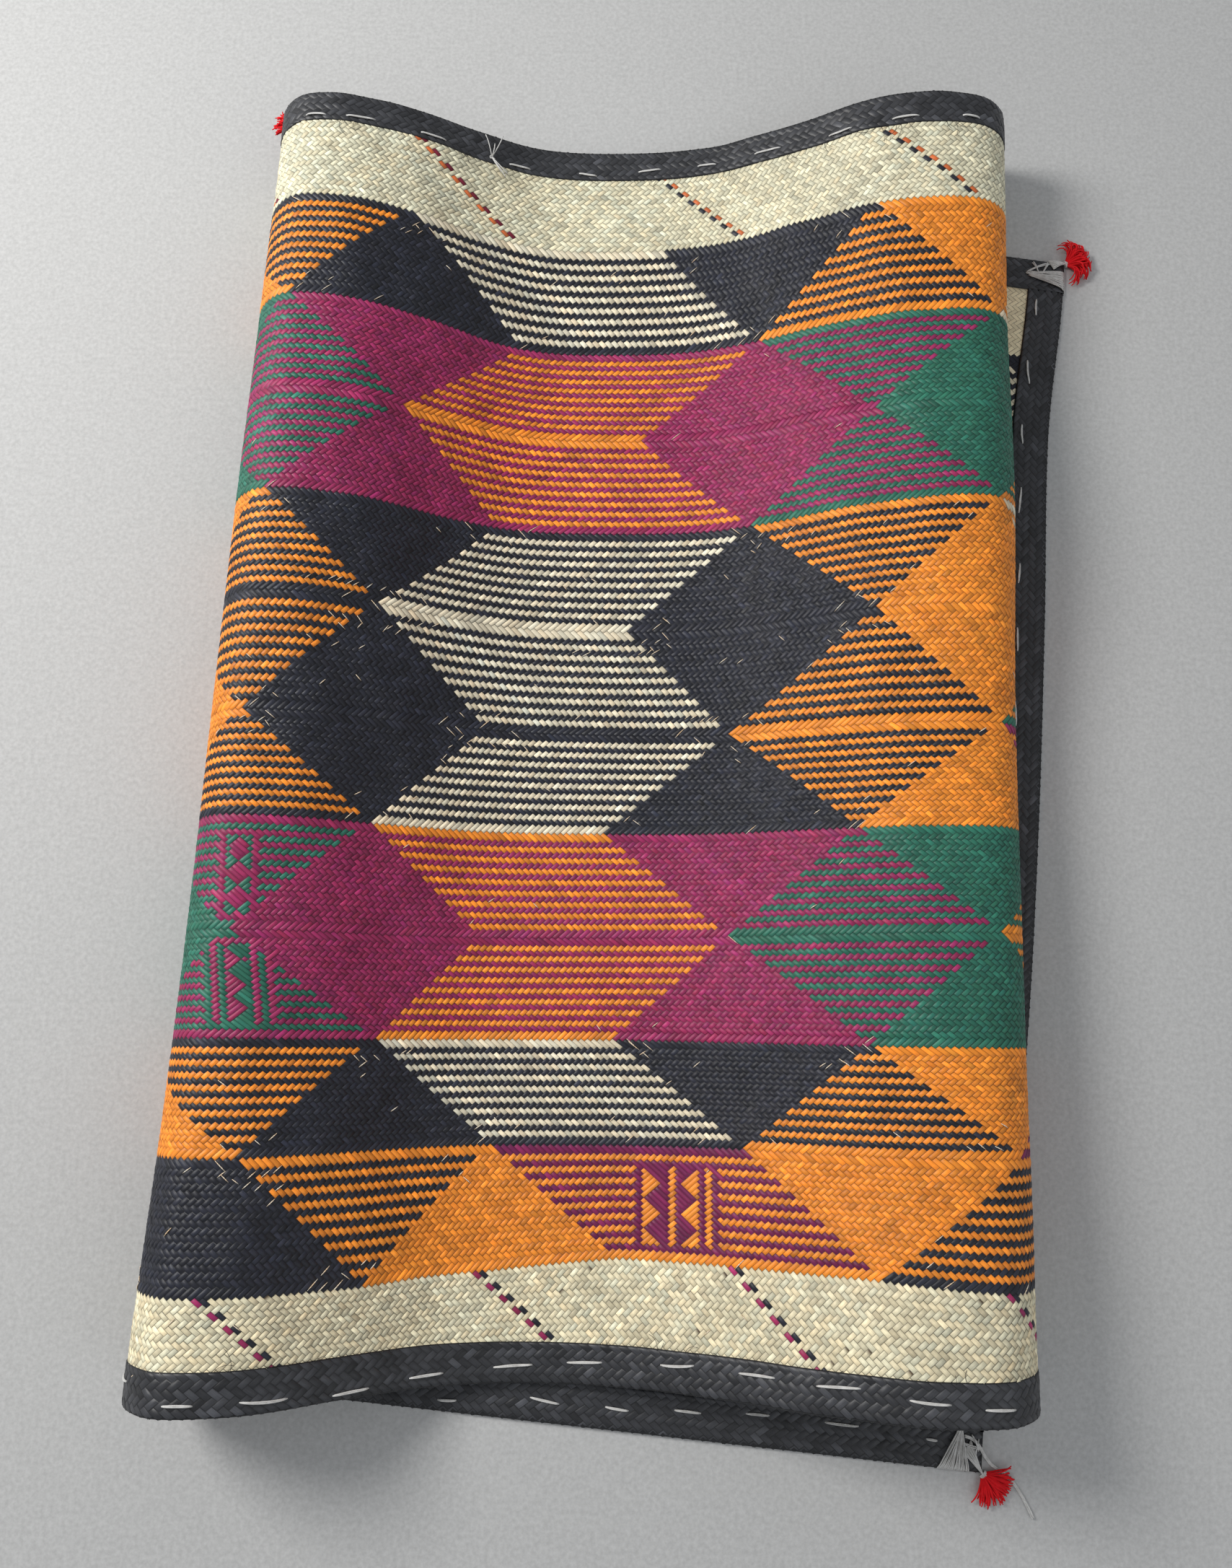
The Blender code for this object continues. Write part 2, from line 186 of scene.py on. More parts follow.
class Cloth:
    """Middle of the mat by w, metres from the back edge, and a, metres along the cloth from
    the counted column. Positive lift is towards the patterned face."""
    ROWS, PLACES, FINE = 143, 1601, 30
    LIES_FLAT, TUCKED = 0.0036, 0.020      # height of the floor layer, strips under the fold

    def __init__(self):
        grid, begin, length = [], [], []
        self.marks = []
        for w in np.linspace(0.0, MAT_WIDTH, self.ROWS):
            points, top, top_end = control_points(w)
            many = len(points) - 1
            fine = spline(points, np.linspace(0, many, self.FINE * many + 1))
            reach = along_path(fine)
            column = np.interp(w, COUNT_FROM_W, COUNT_FROM_X)
            first, last = self.FINE * top, self.FINE * top_end
            zero = np.interp(column, fine[first:last, 0], reach[first:last])
            even = np.linspace(0.0, reach[-1], self.PLACES)
            grid.append(np.stack([np.interp(even, reach, fine[:, n]) for n in range(3)], axis=1))
            begin.append(-zero)
            length.append(reach[-1])
            low_left = np.nonzero(fine[:first, 2] < self.LIES_FLAT)[0][-1]
            low_right = last + self.FINE * len(FOLD_TURNS)
            ends = reach[[low_left, first, last, low_right]] - zero
            self.marks.append(ends + (0, 0, 0, self.TUCKED))
        self.grid = np.array(grid) - FRAME_ORIGIN
        self.begin, self.length = np.array(begin), np.array(length)
        self.marks = np.array(self.marks)
        self.grid[..., 2] += self.ripples()
        along = np.gradient(self.grid, axis=1)
        across = np.gradient(self.grid, axis=0)
        self.normal = unit(np.cross(across, along))

    def ripples(self):
        """Small unevenness of the top layer, where it is well clear of the layers below."""
        x, y, z = np.moveaxis(self.grid, -1, 0)
        place = self.begin[:, None] + self.length[:, None] * np.linspace(0, 1, self.PLACES)
        inside = np.minimum(place - self.marks[:, 1:2], self.marks[:, 2:3] - place)
        inside = np.clip(inside / RIPPLE_FADE, 0, 1)
        free = np.clip((z - RIPPLE_HEIGHTS[0]) / RIPPLE_HEIGHTS[1], 0, 1)
        wave = sum(part * np.sin(kx * x + ky * y + turn) for part, kx, ky, turn in RIPPLES)
        return wave * inside * inside * (3 - 2 * inside) * free

    def _rows(self, w):
        row = np.asarray(w, float) / MAT_WIDTH * (self.ROWS - 1)
        at = np.clip(row.astype(int), 0, self.ROWS - 2)
        return at, row - at

    def at(self, w, a, lift=0.0):
        w, a, lift = np.broadcast_arrays(np.asarray(w, float), np.asarray(a, float),
                                         np.asarray(lift, float))
        r, t = self._rows(w)
        begin = self.begin[r] * (1 - t) + self.begin[r + 1] * t
        length = self.length[r] * (1 - t) + self.length[r + 1] * t
        place = (a - begin) / length * (self.PLACES - 1)
        c = np.clip(place.astype(int), 0, self.PLACES - 2)
        q, t = (place - c)[..., None], t[..., None]
        spot, out = (((grid[r, c] * (1 - q) + grid[r, c + 1] * q) * (1 - t)
                      + (grid[r + 1, c] * (1 - q) + grid[r + 1, c + 1] * q) * t)
                     for grid in (self.grid, self.normal))
        return spot + unit(out) * lift[..., None]

    def first(self, w):
        r, t = self._rows(w)
        return self.begin[r] * (1 - t) + self.begin[r + 1] * t

    def last(self, w):
        r, t = self._rows(w)
        end = self.begin + self.length
        return end[r] * (1 - t) + end[r + 1] * t

    def mark(self, w, which):
        r, t = self._rows(w)
        return self.marks[r, which] * (1 - t) + self.marks[r + 1, which] * t


cloth = Cloth()

# --- camera
PHOTO_WIDE, PHOTO_HIGH, FOCAL = 1708, 2173, 1645.0
TILT = math.radians(11.6)
EYE = np.array([-0.0637, -0.3178, 1.31])

camera = bpy.data.objects.new("camera", bpy.data.cameras.new("camera"))
bpy.context.scene.collection.objects.link(camera)
camera.location = EYE
camera.rotation_euler = (TILT, 0.0, 0.0)
camera.data.sensor_width = 36.0
camera.data.lens = 36.0 * FOCAL / PHOTO_HIGH
bpy.context.scene.camera = camera


def pixels(points):
    """Where points show in the photo's frame."""
    rel = points - EYE
    depth = -(rel[..., 1] * -math.sin(TILT) + rel[..., 2] * math.cos(TILT))
    up = rel[..., 1] * math.cos(TILT) + rel[..., 2] * math.sin(TILT)
    return np.stack([PHOTO_WIDE / 2 + FOCAL * rel[..., 0] / depth,
                     PHOTO_HIGH / 2 - FOCAL * up / depth], axis=-1)


def cloth_at_pixel(x, y, layer="top"):
    """The (w, a) whose middle surface shows at a pixel, in the top layer or the lowest one."""
    w, part = np.meshgrid(np.linspace(0, MAT_WIDTH, 285), np.linspace(0, 1, 700), indexing="ij")
    low, high = (cloth.mark(w, 1), cloth.mark(w, 2)) if layer == "top" else \
        (cloth.first(w), cloth.mark(w, 0))
    a = low + (high - low) * part
    away = np.linalg.norm(pixels(cloth.at(w, a)) - (x, y), axis=-1)
    best = np.unravel_index(np.argmin(away), away.shape)
    return w[best], a[best]


# --- colours
def linear(rgb):
    value = np.asarray(rgb, float) / 255.0
    return np.where(value <= 0.04045, value / 12.92, ((value + 0.055) / 1.055) ** 2.4)


COLOURS = dict(
    orange=(254, 150, 44), black=(34, 36, 47), cream=(236, 224, 196), magenta=(158, 40, 92),
    green=(44, 112, 92), purple=(122, 28, 80), straw=(240, 229, 194), maroon=(120, 24, 46),
    rust=(206, 104, 52), brown=(74, 52, 30), band=(55, 56, 60),
)
NAMES = list(COLOURS)
TINTS = np.array([linear(COLOURS[name]) for name in NAMES])

# Patterned bands of the mat: where each begins, metres from the back edge
LINES = (0.134, 0.2732, 0.3867, 0.5075, 0.6225, 0.742, 0.8584, 0.9738, 1.0815, 1.1914, 1.3061)
STEP_U = 0.0074          # one strip, along the rows
STEP_S = 0.00325         # one quarter of a row pair, in the plain margins
BAND_ROWS = 38           # quarters in one patterned band
LAST = BAND_ROWS * (len(LINES) - 1)
COUNT = np.array([-60] + [BAND_ROWS * k for k in range(len(LINES))] + [LAST + 60])
COUNT_W = np.array([LINES[0] - 60 * STEP_S, *LINES, LINES[-1] + 60 * STEP_S])

# Where the pattern's crossings lie on each line: by strip number, the place in strips from
# the counted column, and millimetres further from the back edge than the line itself
CROSSINGS = [
    dict(number=(0, 38, 76), place=(-1.5, 40.5, 75.5), down=(5, 0, -3)),
    dict(number=(-19, 19, 57), place=(-19.3, 18.0, 57.0), down=(-6, 0, -3)),
    dict(number=(0, 38, 76), place=(-1.2, 38.0, 75.5), down=(-3, -2, 0)),
    dict(number=(-19, 19, 57, 95), place=(-20.8, 15.2, 55.5, 93.5), down=(-3, -5, -6, -8)),
    dict(number=(0, 38, 76), place=(-3.4, 35.7, 74.2), down=(-4, 0, -5)),
    dict(number=(-19, 19, 57, 95), place=(-21.5, 14.1, 51.2, 91.3), down=(6, 1, 4, 4)),
    dict(number=(0, 38, 76), place=(-2.7, 32.2, 70.2), down=(0, -1, 0)),
    dict(number=(-19, 19, 57, 95), place=(-21.2, 14.3, 50.9, 89.2), down=(2, 0, -3, -5)),
    dict(number=(0, 38, 76), place=(-0.2, 34.2, 71.3), down=(1, -1, 1)),
    dict(number=(-19, 19, 57, 95), place=(-17.7, 17.3, 53.5, 91.5), down=(4, -2, -4, -4)),
    dict(number=(-19, 0, 19, 38, 76, 95), place=(-18.5, 0.0, 17.7, 35.4, 72.0, 91.0),
         down=(13, 14, 7, -7, -8, 2)),
]
CROSSING_EVERY = np.arange(-57, 134, 19)


def crossing_shifts():
    """Strips and metres off the even count, for every line and crossing column."""
    off = [[np.interp(CROSSING_EVERY, row["number"], np.subtract(row["place"], row["number"])),
            np.interp(CROSSING_EVERY, row["number"], row["down"]) / 1000.0] for row in CROSSINGS]
    off = np.array([[off[0][0], 0 * off[0][1]]] + off + [[off[-1][0], 0 * off[-1][1]]])
    return off[:, 0], off[:, 1]


SHIFT_U, SHIFT_W = crossing_shifts()


def w_of(s):
    return np.interp(s, COUNT, COUNT_W)


def s_of(w):
    return np.interp(w, COUNT_W, COUNT)


def weave_place(u, s):
    """Metres from the back edge and along the cloth of strip place u, quarter s."""
    r = np.interp(s, COUNT, np.arange(len(COUNT)))
    c = np.interp(u, CROSSING_EVERY, np.arange(len(CROSSING_EVERY)))
    at = np.minimum(r.astype(int), len(COUNT) - 2)
    col = np.minimum(c.astype(int), len(CROSSING_EVERY) - 2)
    r, c = r - at, c - col
    du, dw = ((grid[at, col] * (1 - r) + grid[at + 1, col] * r) * (1 - c)
              + (grid[at, col + 1] * (1 - r) + grid[at + 1, col + 1] * r) * c
              for grid in (SHIFT_U, SHIFT_W))
    return w_of(s) + dw, (u + du) * STEP_U


# Colours of the "\" strips (fall) and the "/" strips (rise) of a band, as runs that end at
# a strip number, counted on the band's upper line
WARM = dict(edge="orange", ground="black", light="cream")
COOL = dict(edge="green", ground="magenta", light="orange")
ODD = dict(fall=[(-38, "edge"), (0, "ground"), (38, "light"), (76, "ground"), (114, "edge"),
                 (152, "ground"), (190, "light"), (999, "ground")],
           rise=[(-76, "ground"), (0, "edge"), (76, "ground"), (114, "edge"), (999, "last")])
EVEN = dict(fall=[(-19, "edge"), (57, "ground"), (95, "edge"), (999, "last")],
            rise=[(-57, "ground"), (-19, "edge"), (19, "ground"), (57, "light"),
                  (95, "ground"), (133, "edge"), (999, "ground")])
FRONT = dict(fall=[(-19, "black"), (19, "orange"), (57, "purple"), (133, "orange"),
                   (999, "black")],
             rise=[(19, "black"), (95, "orange"), (133, "black"), (999, "purple")])
BANDS = [
    dict(runs=ODD, colours=WARM, last="cream"),
    dict(runs=EVEN, colours=COOL, last="green"),
    dict(runs=ODD, colours=COOL, last="orange"),
    dict(runs=EVEN, colours=WARM, last="cream"),
    dict(runs=ODD, colours=WARM, last="green"),
    dict(runs=EVEN, colours=WARM, last="magenta"),
    dict(runs=ODD, colours=COOL, last="orange"),
    dict(runs=EVEN, colours=COOL, last="orange"),
    dict(runs=ODD, colours=WARM, last="purple"),
    dict(runs=FRONT, colours={}, last="black"),
]
# Pairs of dyed strips that run through the plain margins: number on the nearest line
BACK_PAIRS = [(-22, "rust", "maroon"), (16, "rust", "maroon"), (53, "black", "rust"),
              (92, "black", "rust"), (130, "black", "rust")]
FRONT_PAIRS = [(strip, "magenta", "black") for strip in (-22, 17, 55, 92, 130)]

# Small ornaments: columns from the left with their width in strips. fall and rise are bars,
# right and left are rows of triangles of the "/" strips that point that way, both is a
# chain of "\" diamonds
ORNAMENTS = [
    dict(start=40.8, rows=(349, 374), tip=355.3, every=9.6,
         columns=[(1.0, "fall"), (4.0, "right"), (1.0, "rise"), (3.6, "left"), (1.0, "fall"),
                  (1.0, "rise"), (1.0, "fall")]),
    dict(start=-20.8, rows=(235, 260), tip=240.5, every=7.6,
         columns=[(1.0, "fall"), (3.6, "both"), (1.0, "fall")]),
    dict(start=-22.5, rows=(271, 298), tip=277.0, every=8.6,
         columns=[(1.0, "fall"), (1.0, "rise"), (1.0, "fall"), (3.4, "right"), (1.0, "rise"),
                  (1.0, "fall"), (1.0, "rise")]),
]


def falls_on_top(i, j):
    """True where the strip that runs down to the right lies over the other one."""
    row = i + j
    local = np.clip(np.mod(row, BAND_ROWS) + 1, 2, BAND_ROWS - 1) // 2
    top = np.where(row < 0, (row // 2) % 2 == 0,
                   np.where(row >= LAST, ((row - LAST) // 2) % 2 == 0, local % 2 == 1))
    u, s = (i - j) / 2.0, row + 1.0
    for art in ORNAMENTS:
        rows = (row >= art["rows"][0]) & (row <= art["rows"][1])
        phase = np.abs(np.mod(s - art["tip"] + art["every"] / 2, art["every"]) - art["every"] / 2)
        reach = 0.54 * (art["every"] / 2 - phase)
        left = art["start"]
        for wide, kind in art["columns"]:
            here = rows & (u >= left) & (u < left + wide)
            value = {"fall": True, "rise": False,
                     "right": u - left >= reach + 0.2,
                     "left": left + wide - u >= reach + 0.2,
                     "both": np.abs(u - left - wide / 2) < 0.45 * (art["every"] / 2 - phase)}[kind]
            top = np.where(here, value, top)
            left += wide
    return top


def strip_colour(i, j, falls):
    """Index into NAMES for the strip over each cell."""
    row = i + j
    band = np.clip(row // BAND_ROWS, 0, len(BANDS) - 1)
    number = np.where(falls, -j - 0.5, i + 0.5) + np.where(falls, 1, -1) * BAND_ROWS / 2 * band
    out = np.full(row.shape, NAMES.index("straw"))
    for k, spec in enumerate(BANDS):
        for way, mine in (("fall", falls), ("rise", ~falls)):
            here = (band == k) & mine
            runs = spec["runs"][way]
            names = [spec["colours"].get(key, spec["last"] if key == "last" else key)
                     for _, key in runs]
            which = np.searchsorted([end for end, _ in runs], number[here], side="right")
            out[here] = np.array([NAMES.index(name) for name in names])[which]
    out[(row < 0) | (row >= LAST)] = NAMES.index("straw")
    for pairs, zone, line in ((BACK_PAIRS, row < 0, 0), (FRONT_PAIRS, row >= LAST, LAST / 2)):
        for at, left, right in pairs:
            for shift, name in ((-0.5, left), (0.5, right)):
                here = zone & falls & (np.abs(-j - 0.5 + line - at - shift) < 0.25)
                out[here] = NAMES.index(name)
    return out


# --- materials
class Nodes:
    """Short ways to build a material."""

    def __init__(self, name):
        self.material = bpy.data.materials.new(name)
        self.material.use_nodes = True
        self.tree = self.material.node_tree
        self.shader = self.tree.nodes["Principled BSDF"]

    def put(self, value, socket):
        if isinstance(value, bpy.types.NodeSocket):
            self.tree.links.new(value, socket)
        else:
            socket.default_value = value

    def fill(self, node, **values):
        """Set or link inputs, by name with _ for a space."""
        for key, value in values.items():
            self.put(value, node.inputs[key.replace("_", " ")])
        return node

    def add(self, kind, **settings):
        node = self.tree.nodes.new("ShaderNode" + kind)
        for key, value in settings.items():
            setattr(node, key, value)
        return node

    def math(self, operation, *values):
        node = self.add("Math", operation=operation)
        for value, socket in zip(values, node.inputs):
            self.put(value, socket)
        return node.outputs[0]

    def mix(self, factor, a, b, blend_type="MIX"):
        node = self.add("Mix", data_type="RGBA", blend_type=blend_type)
        for value, number in ((factor, 0), (a, 6), (b, 7)):
            self.put(value, node.inputs[number])
        return node.outputs[2]

    def times(self, a, b):
        return self.mix(1.0, a, b, "MULTIPLY")

    def noise(self, vector, scale, detail=2.0, rough=0.5):
        return self.fill(self.add("TexNoise"), Vector=vector, Scale=scale, Detail=detail,
                         Roughness=rough).outputs["Fac"]

    def ramp(self, factor, low, high, a=(0, 0, 0), b=(1, 1, 1)):
        node = self.add("ValToRGB")
        for element, place, colour in zip(node.color_ramp.elements, (low, high), (a, b)):
            element.position, element.color = place, (*colour, 1.0)
        self.put(factor, node.inputs[0])
        return node.outputs[0]

    def grey(self, factor, low, high, a, b):
        return self.ramp(factor, low, high, (a,) * 3, (b,) * 3)

    def uv(self, name, scale=(1.0, 1.0, 1.0)):
        spread = self.add("UVMap", uv_map=name).outputs[0]
        return self.fill(self.add("Mapping"), Vector=spread, Scale=scale).outputs[0]

    def object_coord(self):
        return self.add("TexCoord").outputs["Object"]

    def finish(self, colour, rough, height, strength, distance, **more):
        bump = self.fill(self.add("Bump"), Strength=strength, Distance=distance, Height=height)
        self.fill(self.shader, Base_Color=colour, Roughness=rough, Normal=bump.outputs[0], **more)
        return self.material


def strip_material(name, rough, gloss, streak):
    """Leaf strip: its colour from the mesh, dye with painted shade in the gaps and at the ends and
    a painted highlight on the middle, with streaks along the leaf and worn sheen.
    """
    n = Nodes(name)
    dye_and_shade = n.add("VertexColor", layer_name="dye_and_shade").outputs[0]
    fibre = n.noise(n.uv("strip", (0.55, 7.0, 1.0)), 1.0, 3.0, 0.6)
    cloudy = n.noise(n.object_coord(), 42.0)
    shade = n.times(n.grey(fibre, 0.30, 0.72, 1 - streak, 1 + streak * 0.6),
                    n.grey(cloudy, 0.3, 0.7, 0.93, 1.06))
    return n.finish(n.times(dye_and_shade, shade), n.math("MULTIPLY_ADD", fibre, 0.22, rough - 0.11),
                    fibre, 0.5, 0.00025, Specular_IOR_Level=gloss)


leaf = strip_material("leaf_strips", 0.50, 0.42, 0.18)
black_leaf = strip_material("black_leaf_strips", 0.46, 0.46, 0.24)


def weave_material(name, reverse):
    """The same plait worked out in the material, for the sides that are seldom seen."""
    n = Nodes(name)
    do = n.math
    split = n.add("SeparateXYZ")
    n.put(n.add("UVMap", uv_map="weave").outputs[0], split.inputs[0])
    u, half = split.outputs[0], do("MULTIPLY", split.outputs[1], 0.5)
    i, j = do("ADD", half, u), do("SUBTRACT", half, u)
    ci, cj = do("FLOOR", i), do("FLOOR", j)
    row = do("ADD", ci, cj)
    local = do("ADD", do("FLOORED_MODULO", row, BAND_ROWS), 1.0)
    local = do("MINIMUM", do("MAXIMUM", local, 2.0), BAND_ROWS - 1.0)
    fall = do("FLOORED_MODULO", do("FLOOR", do("MULTIPLY", local, 0.5)), 2.0)
    if reverse:
        fall = do("SUBTRACT", 1.0, fall)

    def either(falling, rising):
        """One value where the strip on top falls, the other where it rises."""
        return do("ADD", do("MULTIPLY", fall, falling),
                  do("MULTIPLY", do("SUBTRACT", 1.0, fall), rising))

    band = do("FLOOR", do("DIVIDE", row, BAND_ROWS))
    turn = do("MULTIPLY", band, BAND_ROWS / 2.0)
    number = either(do("SUBTRACT", turn, cj), do("SUBTRACT", ci, turn))
    shift = do("MULTIPLY", do("FLOORED_MODULO", band, 2.0), BAND_ROWS / 2.0)
    step = do("FLOOR", do("DIVIDE", do("ADD", number, shift), BAND_ROWS))
    cell = do("FLOORED_MODULO", do("ADD", step, 2.0), 4.0)
    cool = do("COMPARE", do("FLOORED_MODULO", do("SUBTRACT", band, 1.5), 5.0), 0.0, 1.1)

    def pick(colours):
        """Edge, ground, light, ground by cell number."""
        edge, ground, light = ((*linear(COLOURS[colours[key]]), 1.0)
                               for key in ("edge", "ground", "light"))
        dark = n.mix(do("COMPARE", cell, 0.0, 0.5), ground, edge)
        return n.mix(do("COMPARE", cell, 2.0, 0.5), dark, light)

    from_middle = do("ABSOLUTE", do("SUBTRACT", do("ADD", row, 0.5), LAST / 2.0))
    colour = n.mix(do("GREATER_THAN", from_middle, LAST / 2.0),
                   n.mix(cool, pick(WARM), pick(COOL)), (*linear(COLOURS["straw"]), 1.0))
    lane = either(do("FRACT", j), do("FRACT", i))
    side = do("MINIMUM", lane, do("SUBTRACT", 1.0, lane))
    height = n.ramp(side, 0.0, 0.16)
    jitter = n.fill(n.add("TexWhiteNoise", noise_dimensions="1D"), W=number)
    # painted shade along each strip's sides, in the gaps between strips; the white noise gives a
    # random tone per strip
    shade = n.times(n.grey(jitter.outputs[0], 0.0, 1.0, 0.82, 1.12),
                    n.grey(side, 0.0, 0.12, 0.22, 1.0))
    return n.finish(n.times(colour, shade), do("MULTIPLY_ADD", height, -0.2, 0.8), height, 0.7,
                    0.0004, Specular_IOR_Level=0.3)


def thread_material(name, colour, other, scale, rough, sheen):
    """Twisted yarn or thread: two tones in fine turns."""
    n = Nodes(name)
    wave = n.add("TexWave", wave_type="BANDS", bands_direction="DIAGONAL")
    twist = n.fill(wave, Vector=n.uv("yarn"), Scale=scale, Distortion=2.5).outputs["Fac"]
    tone = n.ramp(n.noise(n.object_coord(), 180.0), 0.3, 0.7, linear(other), linear(colour))
    return n.finish(n.times(tone, n.grey(twist, 0.0, 1.0, 0.72, 1.0)),
                    n.math("MULTIPLY_ADD", twist, 0.1, rough), twist, 0.6, 0.0002,
                    Sheen_Weight=sheen)


white_thread = thread_material("white_thread", (244, 243, 240), (214, 212, 208), 1.0, 0.62, 0.1)
red_yarn = thread_material("red_yarn", (255, 14, 30), (236, 4, 22), 0.8, 0.90, 0.0)
sliver_leaf = thread_material("sliver_leaf", (255, 250, 234), (246, 212, 170), 0.2, 0.55, 0.0)
black_fibre = thread_material("black_fibre", (52, 48, 46), (26, 25, 27), 1.0, 0.7, 0.1)


# --- meshes
def add_piece(name, mesh, slot, *nodes):
    piece = bpy.data.objects.new(name, mesh)
    bpy.context.scene.collection.objects.link(piece)
    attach(piece, "root")
    if nodes:
        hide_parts(*nodes)
    return piece


def fill_mesh(name, points, quads, materials, uvs=(), dye_and_shade=None, kinds=None):
    """A mesh from arrays: points (n, 3), quads (m, 4), and one row for each quad's corner."""
    mesh = bpy.data.meshes.new(name)
    mesh.vertices.add(len(points))
    mesh.vertices.foreach_set("co", np.asarray(points, np.float32).ravel())
    mesh.loops.add(quads.size)
    mesh.loops.foreach_set("vertex_index", quads.astype(np.int32).ravel())
    mesh.polygons.add(len(quads))
    mesh.polygons.foreach_set("loop_start", np.arange(len(quads), dtype=np.int32) * 4)
    for material in materials:
        mesh.materials.append(material)
    if kinds is not None:
        mesh.polygons.foreach_set("material_index", kinds.astype(np.int32))
    mesh.update(calc_edges=True)
    for layer, values in uvs:
        mesh.uv_layers.new(name=layer).data.foreach_set(
            "uv", np.asarray(values, np.float32).ravel())
    if dye_and_shade is not None:
        # the corner colours are dye with painted shade in them
        paint = mesh.color_attributes.new("dye_and_shade", "FLOAT_COLOR", "CORNER")
        full = np.concatenate([dye_and_shade.reshape(-1, 3), np.ones((quads.size, 1))], axis=1)
        paint.data.foreach_set("color", full.astype(np.float32).ravel())
    mesh.shade_smooth()
    mesh.validate()
    return mesh


# How a strip lies between its neighbours: inset of its flat part, in cells, and the height
# of its rim, its ends and its middle over the layer under it
SIDE_INSET, END_INSET = 0.09, 0.13
LONGEST = 14
TILT_LIFT = 0.00010        # how unevenly a strip lies
GAP_SHADE = (0.05, 0.36)   # painted shade in the gap beside a strip: how much of its colour is left there
# painted shade on the ends of each strip and a painted highlight on its middle
END_SHADE, MIDDLE_SHADE = 0.86, 1.06


def float_shape(cells):
    """One strip end to end over some cells: rim and crown corners as along, across, how high (0
    rim, 1 end, 2 middle) and a factor of painted shade (0 in the gap, lower at the ends, above 1
    for a painted highlight on the middle); then its quads."""
    k = np.arange(cells + 1.0)
    inner = np.clip(k, END_INSET, cells - END_INSET)
    middle = (k > 0) & (k < cells)
    corners = []
    for across in (0.0, 1.0):
        corners += [(x, across, 0, 0.0) for x in k]
    for across in (SIDE_INSET, 1 - SIDE_INSET):
        corners += [(x, across, 1 + mid, MIDDLE_SHADE if mid else END_SHADE)
                    for x, mid in zip(inner, middle)]
    m = cells + 1
    near, far, left, right = 0, m, 2 * m, 3 * m
    quads = [(far, near, left, right),
             (near + cells, far + cells, right + cells, left + cells)]
    for c in range(cells):
        quads += [(near + c, near + c + 1, left + c + 1, left + c),
                  (left + c, left + c + 1, right + c + 1, right + c),
                  (right + c, right + c + 1, far + c + 1, far + c)]
    return np.array(corners, float), np.array(quads)


def find_floats(inside, falls):
    """Runs of cells where one strip lies on top: arrays of i, j, length, and which way."""
    found = []
    for way in (True, False):
        mine = inside & (falls == way)
        start = mine & ~np.roll(mine, 1, axis=0 if way else 1)
        i, j = np.nonzero(start)
        length, going = np.ones(len(i), int), np.ones(len(i), bool)
        for step in range(1, LONGEST):
            going &= mine[i + step * way, j + step * (not way)]
            length += going
        found.append(np.stack([i, j, length, np.full(len(i), way)], axis=1))
    return np.concatenate(found)


def plait(name, floats, place, dye_and_shade, heights, spoilt, bake, material):
    """Mesh of plaited strips. place(i, j, lift) gives points, the colours come one for each float
    and get painted shade in the gaps and at the ends and a painted highlight on the middle, spoilt
    marks floats with a brown end, bake(i, j) gives the unrolled place."""
    low = floats[:, :2].min()
    reach = int(floats[:, :2].max()) + LONGEST + 2 - low
    parts, crowns, rims = [], [], []
    count = 0
    strip_seed = rng.uniform(0.0, 400.0, size=(2, 2 * reach + 4))
    for way in (1, 0):
        for cells in np.unique(floats[:, 2]):
            mine = np.nonzero((floats[:, 3] == way) & (floats[:, 2] == cells))[0]
            if not len(mine):
                continue
            corners, quads = float_shape(int(cells))
            if way:
                quads = quads[:, ::-1]
            along, across, level, shade = corners.T
            base = floats[mine, :2]
            i = base[:, :1] + (along if way else across)
            j = base[:, 1:2] + (across if way else along)
            m = 2 * (int(cells) + 1)
            rims.append((i[:, :m] - low).astype(int) * reach + (j[:, :m] - low).astype(int))
            own = count + np.arange(len(mine) * m).reshape(len(mine), m)
            count += own.size
            lift = np.array(heights)[level[m:].astype(int)]
            lean = rng.normal(0.0, TILT_LIFT, (len(mine), 3)) @ np.stack(
                [across[m:] * 2 - 1, along[m:] * 2 / cells - 1, np.ones(m)])
            crowns.append((i[:, m:].ravel(), j[:, m:].ravel(), (lift + lean).ravel()))
            # painted shade in the gaps between strips: the rim corners keep only this share of the
            # colour
            gap = np.where(level == 0, rng.uniform(*GAP_SHADE, (len(mine), 1)), 0.0)
            # each float's colour times its painted shade and painted highlight
            tint = dye_and_shade[mine][:, None, :] * (shade + gap)[..., None]
            brown = spoilt[mine][:, None] & (level > 0) & (along < 0.6)
            tint = np.where(brown[..., None], linear(COLOURS["brown"]), tint)
            seed = strip_seed[way, (base[:, 1 if way else 0] - low) % (2 * reach)][:, None]
            line = np.stack([(i if way else j) + seed, across + seed * 3.7], axis=-1)
            parts.append((own, quads, tint, line, bake(i, j)))
    keys, order = np.unique(np.concatenate([key.ravel() for key in rims]), return_inverse=True)
    order = order.ravel()
    points = [place(keys // reach + low, keys % reach + low, np.full(len(keys), heights[0]))]
    points += [place(*crown) for crown in crowns]
    faces, layers = [], ([], [], [])
    used = 0
    for key, (own, quads, *values) in zip(rims, parts):
        rim = order[used:used + key.size].reshape(key.shape)
        used += key.size
        faces.append(np.concatenate([rim, own + len(keys)], axis=1)[:, quads].reshape(-1, 4))
        for layer, value in zip(layers, values):
            layer.append(value[:, quads].reshape(-1, value.shape[-1]))
    tint, line, spread = (np.concatenate(layer) for layer in layers)
    return fill_mesh(name, np.concatenate(points), np.concatenate(faces), [material],
                     [("OFBake", spread), ("strip", line)], tint)


